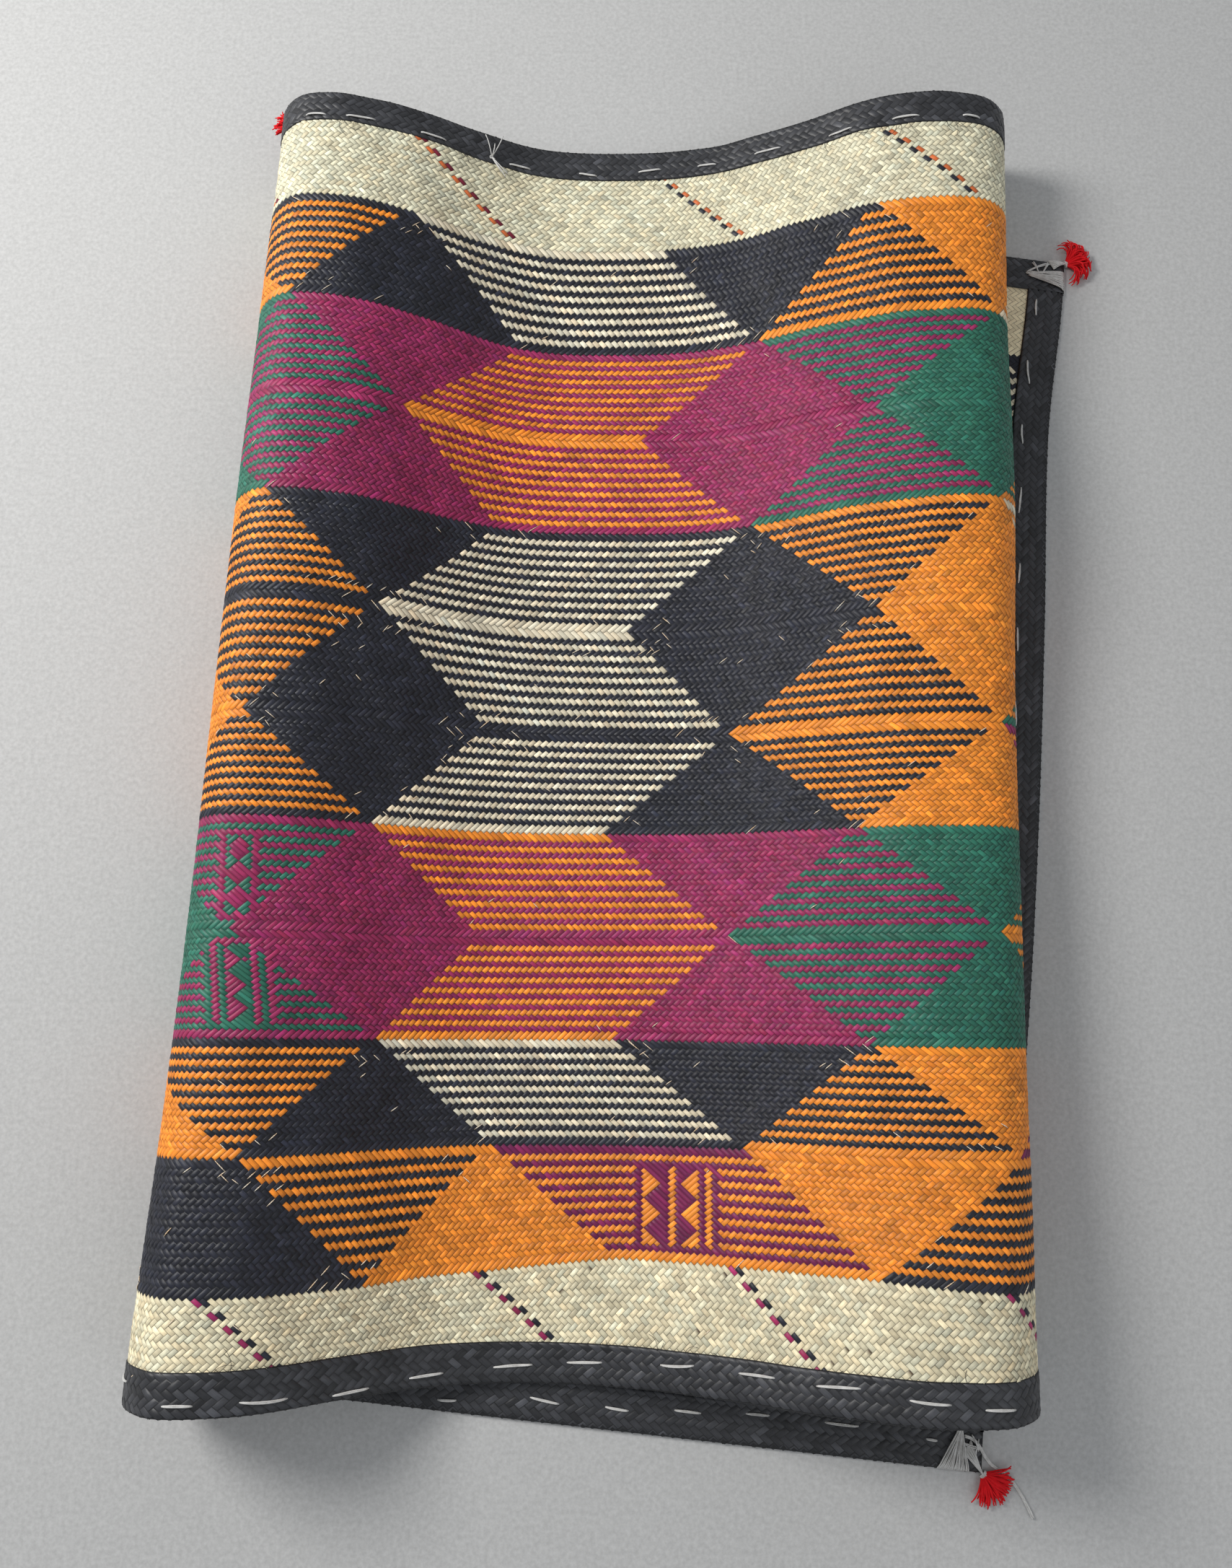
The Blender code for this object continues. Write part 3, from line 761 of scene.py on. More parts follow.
def add_threads(name, paths, radius, sides, material, slot="plaited_leaf", *nodes):
    """One piece of closed tubes. paths are arrays of points, radius one number or an array
    for each path."""
    points, faces, uvs = [], [], []
    turns = [2 * math.pi * m / sides for m in range(sides)]
    for number, path in enumerate(paths):
        path = np.asarray(path, float)
        size = radius[number] if isinstance(radius, list) else radius
        size = np.broadcast_to(size, len(path))
        ahead = unit(np.gradient(path, axis=0))
        side = np.cross(ahead, (0.0, 0.0, 1.0))
        side[np.linalg.norm(side, axis=1) < 0.05] = (1.0, 0.0, 0.0)
        side = unit(side)
        up = np.cross(side, ahead)
        reach = along_path(path) * 1000
        first = len(points)
        points += [spot + r * (x * math.cos(turn) + y * math.sin(turn))
                   for spot, r, x, y in zip(path, size, side, up) for turn in turns]
        for k in range(len(path) - 1):
            for m in range(sides):
                a, b = first + k * sides + m, first + k * sides + (m + 1) % sides
                faces.append((a, b, b + sides, a + sides))
                uvs += [(reach[k], m), (reach[k], m + 1), (reach[k + 1], m + 1), (reach[k + 1], m)]
        last = first + (len(path) - 1) * sides
        faces += [tuple(range(first + sides - 1, first - 1, -1)), tuple(range(last, last + sides))]
        uvs += [(reach[end], m) for end in (0, -1) for m in range(sides)]
    mesh = bpy.data.meshes.new(name)
    mesh.from_pydata([tuple(point) for point in points], [], faces)
    mesh.uv_layers.new(name="yarn").data.foreach_set("uv", np.array(uvs, np.float32).ravel())
    mesh.materials.append(material)
    mesh.shade_smooth()
    mesh.validate()
    return add_piece(name, mesh, slot, *nodes)


# --- the cloth itself
CLOTH_LIFTS = (0.0001, -0.0006)            # its face and its reverse
CLOTH_LONG, CLOTH_WIDE = 306, 58


def make_cloth():
    """Closed sheet that the plaited face lies on."""
    w = np.linspace(0.0, MAT_WIDTH, CLOTH_WIDE)[:, None]
    part = np.linspace(0.0, 1.0, CLOTH_LONG)[None, :]
    begin, end = cloth.first(w), cloth.last(w)
    a = begin + (end - begin) * part
    w, part = np.broadcast_arrays(w, part)
    points = np.concatenate([cloth.at(w, a, lift).reshape(-1, 3) for lift in CLOTH_LIFTS])
    index = np.arange(w.size).reshape(w.shape)
    face = np.stack([index[:-1, :-1], index[1:, :-1], index[1:, 1:], index[:-1, 1:]],
                    axis=-1).reshape(-1, 4)
    back = face[:, ::-1] + index.size
    ring = np.concatenate([index[0, :], index[1:, -1], index[-1, -2::-1], index[-2:0:-1, 0]])
    ahead = np.roll(ring, -1)
    rim = np.stack([ring, ahead, ahead + index.size, ring + index.size], axis=1)
    quads = np.concatenate([face, back, rim])
    weave = np.tile(np.stack([a / STEP_U, s_of(w)], axis=-1).reshape(-1, 2), (2, 1))
    # the face in the lower half of the bake, the reverse in the upper, the rim beside it
    flat = np.stack([part * 0.94 + 0.03, w / MAT_WIDTH * 0.44 + 0.03], axis=-1).reshape(-1, 2)
    spread = np.concatenate([flat, flat + (0.0, 0.49)])[quads]
    spread[-len(rim):, 2:] = spread[-len(rim):, 1::-1] + 0.004
    kinds = np.repeat([0, 1, 1], [len(face), len(back), len(rim)])
    mesh = fill_mesh("mat_cloth", points, quads,
                     [weave_material("plait_face", False), weave_material("plait_reverse", True)],
                     [("OFBake", spread), ("weave", weave[quads])], kinds=kinds)
    return add_piece("mat_cloth", mesh, "plaited_leaf", "mat_sheet")


# --- the plaited face
FACE_HEIGHTS = (0.00066, 0.00118, 0.00152)
FACE_PARTS = 4
FACE_INSET = 0.030                         # the strips end under the bands
FACE_SPAN = (-180, 360)                    # cells each way
# Spread of tone from strip to strip and along each, of warmth, and of single dyes
STRIP_TONES, FLOAT_TONES, WARMTH = 0.10, 0.11, 0.03
MAGENTA_TONES, BLACK_TONES = 0.07, 0.22
BACK_STRAW = (0.96, 1.0, 1.04)
SPECKS = 0.006                             # share of the front margin's with a brown end
# Share of strips with a splinter, near a crossing of the pattern and elsewhere
BLACK_SLIVERS, OTHER_SLIVERS = (0.20, 0.010), (0.02, 0.001)
NEAR_LINE, NEAR_CROSSING = 9, 7            # in quarters and in strips
SLIVER_RADIUS = 0.00050
SLIVER_LIFTS = (0.00140, 0.00178, 0.00180, 0.00145)


def face_place(i, j, lift):
    w, a = weave_place((i - j) / 2.0, i + j)
    return cloth.at(w, a, lift)


def make_face():
    span = np.arange(*FACE_SPAN)
    i, j = np.meshgrid(span, span, indexing="ij")
    w, a = weave_place((i - j) / 2.0, i + j + 1.0)
    inside = (w > FACE_INSET) & (w < MAT_WIDTH - FACE_INSET)
    inside &= (a > cloth.mark(w, 0)) & (a < cloth.mark(w, 3))
    rest = LONGEST + 2
    inside[:2], inside[-rest:], inside[:, :2], inside[:, -rest:] = (False,) * 4
    floats = find_floats(inside, falls_on_top(i, j))
    way = floats[:, 3] == 1
    floats[:, :2] += span[0]
    i, j = floats[:, 0], floats[:, 1]
    row, u = i + j, (i - j) / 2.0
    names = strip_colour(i, j, way)
    black, magenta, straw = (names == NAMES.index(name) for name in ("black", "magenta", "straw"))

    # each strip is dyed as one, and each length of it is worn on its own
    tint = TINTS[names].copy()
    strip = np.where(way, j, i) - span[0]

    def tones(amount, source):
        size = (2, int(source.max()) + 1)
        return rng.normal(0.0, amount, size=size)[way.astype(int), source]

    tint *= np.exp(tones(STRIP_TONES, strip))[:, None]
    tint *= np.exp(tones(FLOAT_TONES, np.arange(len(floats))))[:, None]
    warm = tones(WARMTH, strip)
    tint[:, 0] *= np.exp(warm)
    tint[:, 2] *= np.exp(-warm)
    tint[magenta, 2] *= np.exp(rng.normal(0.0, MAGENTA_TONES, magenta.sum()))
    tint[(row < 0) & straw] *= BACK_STRAW
    speck = (row >= LAST) & straw & (rng.random(len(floats)) < SPECKS)
    tint[black] *= np.exp(rng.normal(0.0, BLACK_TONES, black.sum()))[:, None]

    # splinters gather where the pattern's lines cross
    half = BAND_ROWS // 2
    past = np.mod(row, BAND_ROWS)
    turn = half * ((row + half) // BAND_ROWS % 2 == 1)
    crossing = ((np.minimum(past, BAND_ROWS - past) < NEAR_LINE)
                & (np.abs(np.mod(u + turn, BAND_ROWS) - half) > half - NEAR_CROSSING))
    slivers = rng.random(len(floats)) < np.where(
        black, np.where(crossing, *BLACK_SLIVERS), np.where(magenta & crossing, *OTHER_SLIVERS))

    a_low, a_high = cloth.marks[:, 0].min() - 0.02, cloth.marks[:, 3].max() + 0.02

    def bake(i, j):
        across = (w_of(i + j) - w_low) / (w_high - w_low)
        along = ((i - j) / 2.0 * STEP_U - a_low) / (a_high - a_low)
        return np.stack([along * 0.98 + 0.01, across * 0.98 + 0.01], axis=-1)

    pieces = []
    limits = np.linspace(s_of(0.0), s_of(MAT_WIDTH), FACE_PARTS + 1)
    for part in range(FACE_PARTS):
        mine = (row >= limits[part]) & (row < limits[part + 1])
        w_low, w_high = w_of(limits[part] - 4), w_of(limits[part + 1] + LONGEST + 4)
        name = f"plaited_face_{part + 1}"
        mesh = plait(name, floats[mine], face_place, tint[mine], FACE_HEIGHTS, speck[mine],
                     bake, leaf)
        pieces.append(add_piece(name, mesh, "plaited_leaf"))
    pieces.append(make_slivers(floats[slivers]))
    return pieces


def make_slivers(floats):
    """Thin undyed splinters of leaf along the sides of some strips."""
    paths = []
    for i, j, cells, way in floats:
        along = np.linspace(rng.uniform(-0.3, 0.2), cells - rng.uniform(-0.2, 0.5), 4)
        across = rng.integers(0, 2) + np.linspace(*rng.normal(0.0, 0.12, 2), 4)
        lift = np.array(SLIVER_LIFTS) + rng.uniform(0.0, 0.0003)
        paths.append(face_place(i + along, j + across, lift) if way
                     else face_place(i + across, j + along, lift))
    sizes = [SLIVER_RADIUS * np.array((0.4, 1.0, 1.0, 0.3))] * len(paths)
    return add_threads("leaf_slivers", paths, sizes, 4, sliver_leaf)


# --- bound edges
BIND_HEIGHTS = (0.00182, 0.00216, 0.00246)
BIND_U, BIND_S = 0.0102, 0.00400           # a strip, and a quarter of a row pair
RIM_ARC, RIM_REACH = 0.0030, 0.0016        # half the turn at the edge, and its depth
BIND_HALF = BAND_WIDTH + RIM_ARC
BIND_FREE = 0.4                            # of a strip, at each end
BIND_STRIP_TONES, BIND_FLOAT_TONES = 0.16, 0.26
TAPE_SIDES = ((0.00172, RIM_REACH - 0.0001), (0.00134, 0.0008))   # lift, depth of the turn
TAPE_FACE, TAPE_REVERSE = 0.0009, 0.0012   # how far the folded tape shows past its strips
# TAPE_SHADE darkens the band's colour on the tape: painted shade under the strips
TAPE_STEP, TAPE_SHADE = 0.010, 0.25
LIP, GAP = 0.0010, 0.0008                  # long bands pass the ends, short ones meet them


def around(v, half, reach):
    """From v, metres round the rim from the face side to the reverse: how far in from the
    edge, and the lift."""
    turn = np.clip(v / RIM_ARC, -1.0, 1.0) * math.pi / 2
    inward = np.where(np.abs(v) > RIM_ARC, np.abs(v) - RIM_ARC, -reach * np.cos(turn))
    return inward, -half * np.sin(turn)


def make_binding(side, point, length, sign):
    """A band folded over one edge. point(along, inward, lift) gives its place."""
    name = "binding_" + side

    def place(i, j, lift):
        v = np.clip((i + j - 1.0) * BIND_S - BIND_HALF, -BIND_HALF, BIND_HALF + BIND_S)
        inward, up = around(v, lift, RIM_REACH + lift - BIND_HEIGHTS[0])
        return point(np.clip((i - j) / 2.0 * BIND_U, 0.0, length), inward, up)

    rows = int(round(2 * BIND_HALF / BIND_S)) + 2
    size = int(length / BIND_U) + rows + 30
    span = np.arange(-size, size)
    i, j = np.meshgrid(span, span, indexing="ij")
    row, u = i + j, (i - j) / 2.0
    inside = (row >= 0) & (row < rows) & (u > BIND_FREE) & (u < length / BIND_U - BIND_FREE)
    floats = find_floats(inside, (row // 2) % 2 == (0 if sign > 0 else 1))
    floats[:, :2] += span[0]
    strip = np.where(floats[:, 3] == 1, floats[:, 1], floats[:, 0]) - span[0]
    tone = rng.normal(0.0, BIND_STRIP_TONES, 2 * size + 1)[strip]
    tone += rng.normal(0, BIND_FLOAT_TONES, len(floats))
    tint = linear(COLOURS["band"]) * np.exp(tone)[:, None]

    def bake(i, j):
        return np.stack([np.clip((i - j) / 2.0 * BIND_U / length, 0, 1) * 0.96 + 0.02,
                         (i + j + 2.0) / (rows + 6.0) * 0.46 + 0.02], axis=-1)

    skin = plait(name, floats, place, tint, BIND_HEIGHTS, np.zeros(len(floats), bool), bake,
                 black_leaf)

    # the folded tape under the strips, closed, with a turned edge
    v = np.concatenate([np.linspace(-BIND_HALF - TAPE_FACE, -RIM_ARC, 5),
                        np.linspace(-RIM_ARC, RIM_ARC, 7)[1:-1],
                        np.linspace(RIM_ARC, BIND_HALF + BIND_S + TAPE_REVERSE, 5)])
    along = np.linspace(0.0, length, int(length / TAPE_STEP))[:, None]
    ring = np.concatenate([point(along, *around(line, *layer))
                           for layer, line in zip(TAPE_SIDES, (v, v[::-1]))], axis=1)
    many, wide = ring.shape[:2]
    index = np.arange(many * wide).reshape(many, wide)
    beside = np.roll(index, -1, axis=1)
    quads = np.stack([index[:-1], index[1:], beside[1:], beside[:-1]], axis=-1).reshape(-1, 4)
    if sign < 0:
        quads = quads[:, ::-1]
    caps = []
    for end, flip in ((0, False), (many - 1, True)):
        for k in range(wide // 2 - 1):
            cap = [index[end, n] for n in (k, k + 1, wide - 2 - k, wide - 1 - k)]
            caps.append(cap[::-1] if flip == (sign > 0) else cap)
    quads = np.concatenate([quads, np.array(caps)])
    flat = np.meshgrid(np.linspace(0.02, 0.98, many), np.linspace(0.52, 0.98, wide + 1)[:-1],
                       indexing="ij")
    flat = np.stack(flat, axis=-1).reshape(-1, 2)[quads]
    # the tape is the band's colour darkened: painted shade
    tape_painted_shade = np.tile(linear(COLOURS["band"]) * TAPE_SHADE, (quads.size, 1))
    tape = fill_mesh(name + "_tape", ring.reshape(-1, 3), quads, [black_leaf],
                     [("OFBake", flat), ("strip", flat * (200.0, 40.0))], tape_painted_shade)
    return [add_piece(name, skin, "black_band", "band_" + side),
            add_piece(name + "_tape", tape, "black_band")]


def make_bindings():
    pieces = []
    for side, edge, sign in (("back", 0.0, 1), ("front", MAT_WIDTH, -1)):
        begin, end = float(cloth.first(edge)), float(cloth.last(edge))

        def point(along, inward, lift, edge=edge, sign=sign, begin=begin):
            return cloth.at(edge + sign * inward, begin - LIP + along, lift)
        pieces += make_binding(side, point, end - begin + 2 * LIP, -sign)
    low = BAND_WIDTH + GAP
    for side, which, sign in (("outer_end", cloth.first, 1), ("inner_end", cloth.last, -1)):
        def point(along, inward, lift, which=which, sign=sign):
            return cloth.at(low + along, which(low + along) + sign * inward, lift)
        pieces += make_binding(side, point, MAT_WIDTH - 2 * low, sign)
    return pieces


# --- stitches and loose ends
THREAD, KNOT_RADIUS, FIBRE_RADIUS, SPARE_RADIUS = 0.00078, 0.00060, 0.00022, 0.00085
STITCHES_TOP = [(400, 175, 30), (500, 165, 42), (600, 190, 40), (720, 235, 34), (815, 245, 28),
                (900, 240, 36), (980, 230, 30), (1065, 210, 42), (1165, 183, 34), (1255, 162, 38),
                (1345, 165, 26)]
STITCHES_FRONT = [(245, 1946, 34), (365, 1940, 56), (485, 1925, 48), (590, 1905, 44),
                  (712, 1892, 50), (810, 1886, 46), (940, 1890, 44), (1050, 1903, 46),
                  (1163, 1921, 54), (1290, 1940, 46), (1410, 1951, 38)]
STITCHES_UNDER = [(620, 1941, 24), (755, 1942, 38), (855, 1948, 30), (953, 1953, 34),
                  (1050, 1959, 30), (1165, 1975, 44), (1290, 1996, 14)]
STITCH_EVERY, STITCH_CLEAR, STITCH_IN = 0.088, 0.07, 0.031
STITCH_LONG = (0.024, 0.034)
STITCH_FOOT, STITCH_RISE, STRAND_APART = 0.0017, 0.0016, 0.0005
PIXELS_PER_METRE = 1270.0


def stitch(w, a, long, side, across=False):
    """One visible stitch of doubled thread: up, along the band and down again."""
    t = np.linspace(-1.0, 1.0, 11)
    turn, slack = rng.normal(0.0, 0.0010), rng.normal(0.0, 0.0006)
    strands = []
    for apart in (-STRAND_APART, STRAND_APART):
        bow = slack * (1 - t * t) + turn * t + apart * (1.2 - t * t)
        lift = side * (STITCH_FOOT + (STITCH_RISE + 0.3 * apart) * (1 - t ** 6))
        strands.append(cloth.at(w + t * long / 2, a + bow, lift) if across else
                       cloth.at(w + bow, a + t * long / 2, lift))
    return strands


def make_stitches():
    paths, seen = [], {}
    for table, layer, side in ((STITCHES_TOP, "top", 1), (STITCHES_FRONT, "top", 1),
                               (STITCHES_UNDER, "low", -1)):
        for x, y, long in table:
            w, a = cloth_at_pixel(x, y, layer)
            w = min(w, STITCH_IN) if w < 0.5 else max(w, MAT_WIDTH - STITCH_IN)
            paths += stitch(w, a, long / PIXELS_PER_METRE, side)
            seen.setdefault((w < 0.5, side), []).append(a)
    # the rest of both long bands, out of the photo's sight, at the same pace
    for back, w in ((True, 0.027), (False, MAT_WIDTH - 0.024)):
        for side in (1, -1):
            taken = seen.get((back, side), [])
            low = cloth.mark(w, 0) if side > 0 else cloth.first(w) + 0.05
            high = cloth.mark(w, 3) if side > 0 else cloth.last(w) - 0.06
            for a in np.arange(low + 0.03, high, STITCH_EVERY):
                hidden = side < 0 or a < cloth.mark(w, 1) or a > cloth.mark(w, 2)
                if hidden and all(abs(a - other) > STITCH_CLEAR for other in taken):
                    a += rng.normal(0, 0.008)
                    paths += stitch(w, a, rng.uniform(*STITCH_LONG), side)
    for which, sign in ((cloth.first, 1), (cloth.last, -1)):
        for w in np.arange(0.07, MAT_WIDTH - 0.06, STITCH_EVERY):
            w += rng.normal(0, 0.006)
            paths += stitch(w, which(w) + sign * 0.030, rng.uniform(0.022, 0.034), -1, True)
    return add_threads("running_stitches", paths, THREAD, 6, white_thread)


KNOT_AT, KNOT_LIFT, END_LIFT = (680, 222), 0.0028, 0.0030
# Its ends: along w and a, how high they rise, and how much of it shows
KNOT_ENDS = [(0.026, 0.018, 0.004, 1.0), (0.024, 0.022, 0.005, 0.9), (-0.024, -0.010, 0.006, 1.0),
             (-0.028, 0.012, 0.008, 1.0), (-0.018, 0.002, 0.007, 0.8), (0.020, 0.012, 0.003, 1.0)]


def make_knot():
    """Thread ends tied off on the back band."""
    w, a = cloth_at_pixel(*KNOT_AT)
    t = np.linspace(0, 2 * math.pi, 15)
    paths = [cloth.at(w + 0.0016 * np.sin(t + k), a + 0.0022 * np.cos(t) + 0.0008 * k,
                      KNOT_LIFT + 0.0006 * np.sin(2 * t + k)) for k in range(3)]
    for dw, da, rise, long in KNOT_ENDS:
        t = np.linspace(0, long, 10)
        across = np.maximum(w + dw * t, -0.004) + 0.002 * np.sin(4 * t)
        paths.append(cloth.at(across, a + da * t, END_LIFT + rise * np.sin(math.pi * t * 0.8)))
    return add_threads("tied_thread", paths, KNOT_RADIUS, 5, white_thread)


FIBRES = [(0.0, 1, 42), (MAT_WIDTH, -1, 16)]   # edge, way inwards, how many
FIBRE_LONG, FIBRE_LIFT, FIBRE_RISE = (0.006, 0.024), 0.0016, 0.006


def make_fibres():
    """Frayed leaf fibres along the bands' inner edges."""
    paths = []
    t = np.linspace(0, 1, 9)
    for edge, inward, many in FIBRES:
        for _ in range(many):
            w = edge + inward * (BAND_WIDTH - rng.uniform(0.0, 0.003))
            a = rng.uniform(cloth.mark(w, 1), cloth.mark(w, 2))
            turn = rng.uniform(-1.3, 1.3)
            long = rng.uniform(*FIBRE_LONG)
            bend = turn + rng.uniform(-1.2, 1.2) * t
            lift = FIBRE_LIFT + rng.uniform(0.0, FIBRE_RISE) * t * (1.4 - t)
            paths.append(cloth.at(w + inward * long * t * np.cos(bend),
                                  a + long * t * np.sin(bend), lift))
    return add_threads("frayed_fibres", paths, FIBRE_RADIUS, 4, black_fibre, "black_band")


# --- corners
def spot(point, heading, ahead, aside, z):
    """A place at height z, seen from a point along a heading."""
    c, s = math.cos(heading), math.sin(heading)
    return np.array([point[0] + ahead * c - aside * s, point[1] + ahead * s + aside * c, z])


# Headings and fans in degrees, long is the yarn's length, curl how much it bends
CORNERS = [
    dict(key="outer_back", w=0.0, end="first", heading=14, long=0.038, curl=1.2, fan=75),
    dict(key="outer_front", w=MAT_WIDTH, end="first", heading=-48, long=0.033, curl=0.25, fan=54),
    dict(key="inner_back", w=0.0, end="last", heading=140, long=0.033, curl=0.5, fan=40),
    dict(key="inner_front", w=MAT_WIDTH, end="last", heading=-82, long=0.028, curl=0.3, fan=46),
]
YARNS, YARN_RADIUS, YARN_LOWEST = 100, 0.00088, 0.0010
YARN_POINTS = 12
SPIN = 2.39996             # radians from yarn to yarn, which fills a round bundle evenly
HEAD_AHEAD, HEAD_WIDE, HEAD_HIGH = 0.0045, 0.0026, 0.0014


def make_tassel(row):
    """Yarn that fans out over the floor from a lashed head."""
    corner = cloth.at(row["w"], float(getattr(cloth, row["end"])(row["w"])))
    heading = math.radians(row["heading"])
    t = np.linspace(0.0, 1.0, YARN_POINTS)
    paths, sizes = [], []
    for n in range(YARNS):
        ring = math.sqrt((n + 0.5) / YARNS)
        side, high = ring * math.cos(n * SPIN), ring * math.sin(n * SPIN)
        fan = side * math.radians(row["fan"]) + rng.normal(0, 0.12)
        long = row["long"] * (1.0 - 0.20 * ring) * rng.uniform(0.78, 1.05)
        curl = row["curl"] * rng.uniform(0.6, 1.2)
        bend = (fan + curl * rng.choice([-1, 1]) * t * t * 1.5)[1:]
        step = long / (YARN_POINTS - 1)
        ahead = HEAD_AHEAD + np.concatenate([[0], np.cumsum(np.cos(bend) * step)])
        aside = HEAD_WIDE * side + np.concatenate([[0], np.cumsum(np.sin(bend) * step)])
        z = corner[2] + HEAD_HIGH * high + t * (0.0012 + 0.0045 * (high + 1)) * (1.2 - t)
        z = np.maximum(z + curl * 0.004 * (high + 1) * np.sin(t * 3.0), YARN_LOWEST)
        paths.append([spot(corner, heading, *place) for place in zip(ahead, aside, z)])
        sizes.append(YARN_RADIUS * (1.0 - 0.35 * t ** 4))
    return add_threads("yarn_" + row["key"], paths, sizes, 5, red_yarn, "red_yarn",
                       "tassel_" + row["key"])


# Places as metres inwards from the long edge and from the end: where the bundle starts, the
# two ends of its fan, the threads across it, and where the tassel's neck is sewn on
LASHINGS = dict(
    outer_back=dict(
        apex=(0.020, 0.043), ends=((0.011, -0.002), (0.038, -0.002)), neck=(0.005, 0.016),
        cross=[((0.004, 0.038), (0.022, 0.030)), ((0.018, 0.045), (0.002, 0.016)),
               ((0.026, 0.030), (0.000, 0.018))]),
    outer_front=dict(
        apex=(0.040, 0.022), ends=((-0.002, 0.011), (-0.002, 0.044)), neck=(0.024, 0.015),
        cross=[((0.034, 0.010), (0.020, 0.002)), ((0.026, 0.020), (0.022, 0.000)),
               ((0.012, 0.008), (0.030, 0.004))]),
    inner_back=dict(neck=(0.020, 0.018)),
    inner_front=dict(neck=(0.020, 0.018)),
)
LASH_RADIUS, LASH_LIFT, LASH_POINTS = 0.00068, 0.0030, 14
BUNDLE, NECK_LONG, NECK_SHORT, NECK_TURNS = 24, 14, 8, 5    # how many threads
FLOOR_CLEAR = 0.0008


def make_lashing(row):
    """White thread over the corner: a bundle fanned over the edge, cross threads, and a
    bound neck that holds the tassel."""
    sign = 1 if row["w"] == 0.0 else -1
    edge_a = float(getattr(cloth, row["end"])(row["w"]))
    into = 1 if row["end"] == "first" else -1
    corner = cloth.at(row["w"], edge_a)
    heading = math.radians(row["heading"])
    plan = LASHINGS[row["key"]]
    t = np.linspace(0.0, 1.0, LASH_POINTS)
    paths = []

    def thread(start, stop, rise, over=False, bow=0.0):
        w = start[0] + (stop[0] - start[0]) * t + bow * np.sin(math.pi * t)
        a = start[1] + (stop[1] - start[1]) * t + bow * np.sin(math.pi * t)
        fall = np.where(t > 0.9, (1.0 - t) * 10, 1.0) if over else 1.0 - 0.4 * t ** 8
        lift = (LASH_LIFT + rise * np.sin(math.pi * t) + 0.25 * rise) * fall
        return cloth.at(row["w"] + sign * w, edge_a + into * a, -into * lift)

    neck = spot(corner, heading, 0.0040, 0.0, corner[2] + 0.0010)
    many = NECK_SHORT
    if "apex" in plan:
        many = NECK_LONG
        apex, (near, far) = np.array(plan["apex"]), np.array(plan["ends"])
        for n in range(BUNDLE):
            start = apex + rng.normal(0, 0.0012, 2)
            stop = near + (far - near) * ((n + 0.5) / BUNDLE)
            paths.append(thread(start, stop, 0.0010 + 0.0007 * (n % 3), True,
                                rng.normal(0, 0.0006)))
        for start, stop in plan["cross"]:
            for apart in (-0.0008, 0.0008):
                paths.append(thread(np.add(start, apart), np.add(stop, (apart, -apart)), 0.0024))
    pull = (t ** 3)[:, None]
    for n in range(many):
        start = np.array(plan["neck"]) + ((n / many - 0.5) * 0.012, (0.5 - n / many) * 0.008)
        path = thread(start, (0.0, 0.0), 0.0016 + 0.0006 * (n % 3))
        paths.append(path * (1 - pull) + (neck + (0, 0, 0.0006 * (n % 4))) * pull)
    for n in range(NECK_TURNS):
        paths.append([spot(corner, heading, 0.0030 + 0.0011 * n, 0.0040 * math.cos(x),
                           max(corner[2] + 0.0026 * math.sin(x), FLOOR_CLEAR))
                      for x in np.linspace(0.0, 2 * math.pi, 17)])
    return add_threads("lashing_" + row["key"], paths, LASH_RADIUS, 5, white_thread)


# The spare thread: where it shows in the photo, and its height over the floor there
SPARE_SEEN = [(1338, 1990, 0.006), (1352, 1994, 0.0065), (1362, 2012, 0.005),
              (1372, 2030, 0.003), (1392, 2040, 0.0015), (1408, 2058, 0.0013),
              (1422, 2082, 0.0013), (1432, 2104, 0.0013)]
SPARE_APART, SPARE_TWIST = 0.0009, 2.1


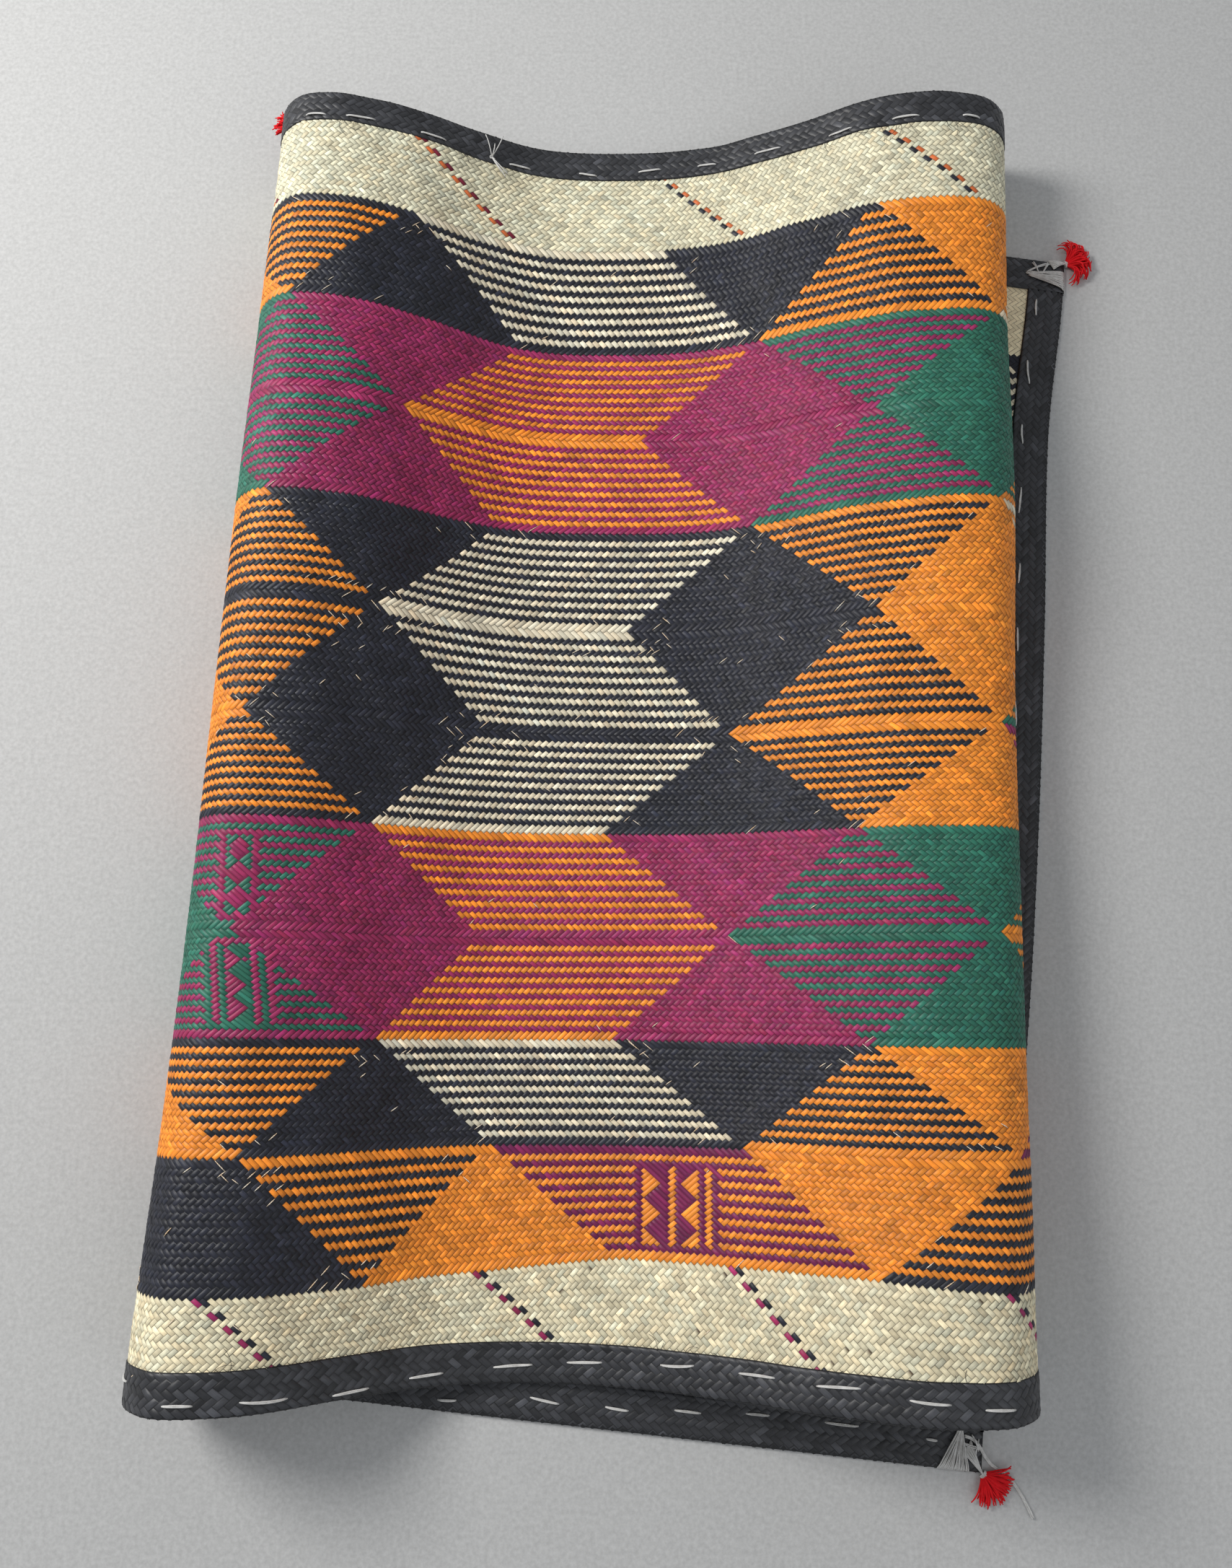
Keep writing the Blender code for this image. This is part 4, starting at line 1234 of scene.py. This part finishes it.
def make_loose_thread():
    """Spare end of the thicker thread, lying on the floor by the front corner."""
    seen = np.array(SPARE_SEEN)
    x = (seen[:, 0] - PHOTO_WIDE / 2) / FOCAL
    y = -(seen[:, 1] - PHOTO_HIGH / 2) / FOCAL
    c, s = math.cos(TILT), math.sin(TILT)
    ray = np.stack([x, y * c + s, y * s - c], axis=1)
    points = EYE + ray * ((seen[:, 2] - EYE[2]) / ray[:, 2])[:, None]
    fine = spline(points, np.linspace(0, len(points) - 1.0, 50))
    turns = [k * SPARE_TWIST for k in range(3)]
    paths = [fine + (SPARE_APART * math.cos(k), SPARE_APART * math.sin(k), 0.0) for k in turns]
    return add_threads("loose_thread", paths, SPARE_RADIUS, 6, white_thread)


# --- putting it together
body = make_cloth()
lying_on = make_face() + make_bindings()
lying_on += [make_stitches(), make_knot(), make_fibres()]
for corner_row in CORNERS:
    lying_on += [make_tassel(corner_row), make_lashing(corner_row)]
lying_on.append(make_loose_thread())

# --- floor and light
FLOOR_Z, FLOOR_HALF = -0.0007, 6.0         # under the lowest strips of the bands
floor_mesh = bpy.data.meshes.new("floor")
floor_mesh.from_pydata([(x * FLOOR_HALF, y * FLOOR_HALF, FLOOR_Z)
                        for x, y in ((-1, -1), (1, -1), (1, 1), (-1, 1))], [], [(0, 1, 2, 3)])
floor = bpy.data.objects.new("floor", floor_mesh)
bpy.context.scene.collection.objects.link(floor)
ground = Nodes("floor_pale")
grain = ground.noise(ground.object_coord(), 220.0, 3.0, 0.6)
ground.fill(ground.shader, Roughness=0.9,
            Base_Color=ground.ramp(grain, 0.3, 0.7, (0.46, 0.46, 0.455), (0.56, 0.56, 0.555)))
floor_mesh.materials.append(ground.material)


def add_light(name, place, aim, size, power, tone):
    data = bpy.data.lights.new(name, "AREA")
    data.shape, data.size, data.energy, data.color = "DISK", size, power, tone
    item = bpy.data.objects.new(name, data)
    bpy.context.scene.collection.objects.link(item)
    item.location = place
    towards = unit(np.array(aim, float) - np.array(place, float))
    item.rotation_euler = (math.acos(-towards[2]), 0.0, math.atan2(-towards[0], towards[1]))


add_light("key", (-2.3, 1.2, 2.1), (0.0, 0.0, 0.0), 1.3, 92.0, (1.0, 0.985, 0.96))
add_light("fill", (2.2, -1.8, 2.6), (0.0, 0.0, 0.0), 2.4, 13.0, (0.95, 0.98, 1.0))
world = bpy.data.worlds.new("studio")
world.use_nodes = True
world.node_tree.nodes["Background"].inputs["Color"].default_value = (0.93, 0.96, 1.0, 1.0)
world.node_tree.nodes["Background"].inputs["Strength"].default_value = 0.40
bpy.context.scene.world = world
bpy.context.scene.view_settings.view_transform = "Standard"
bpy.context.scene.view_settings.look = "None"
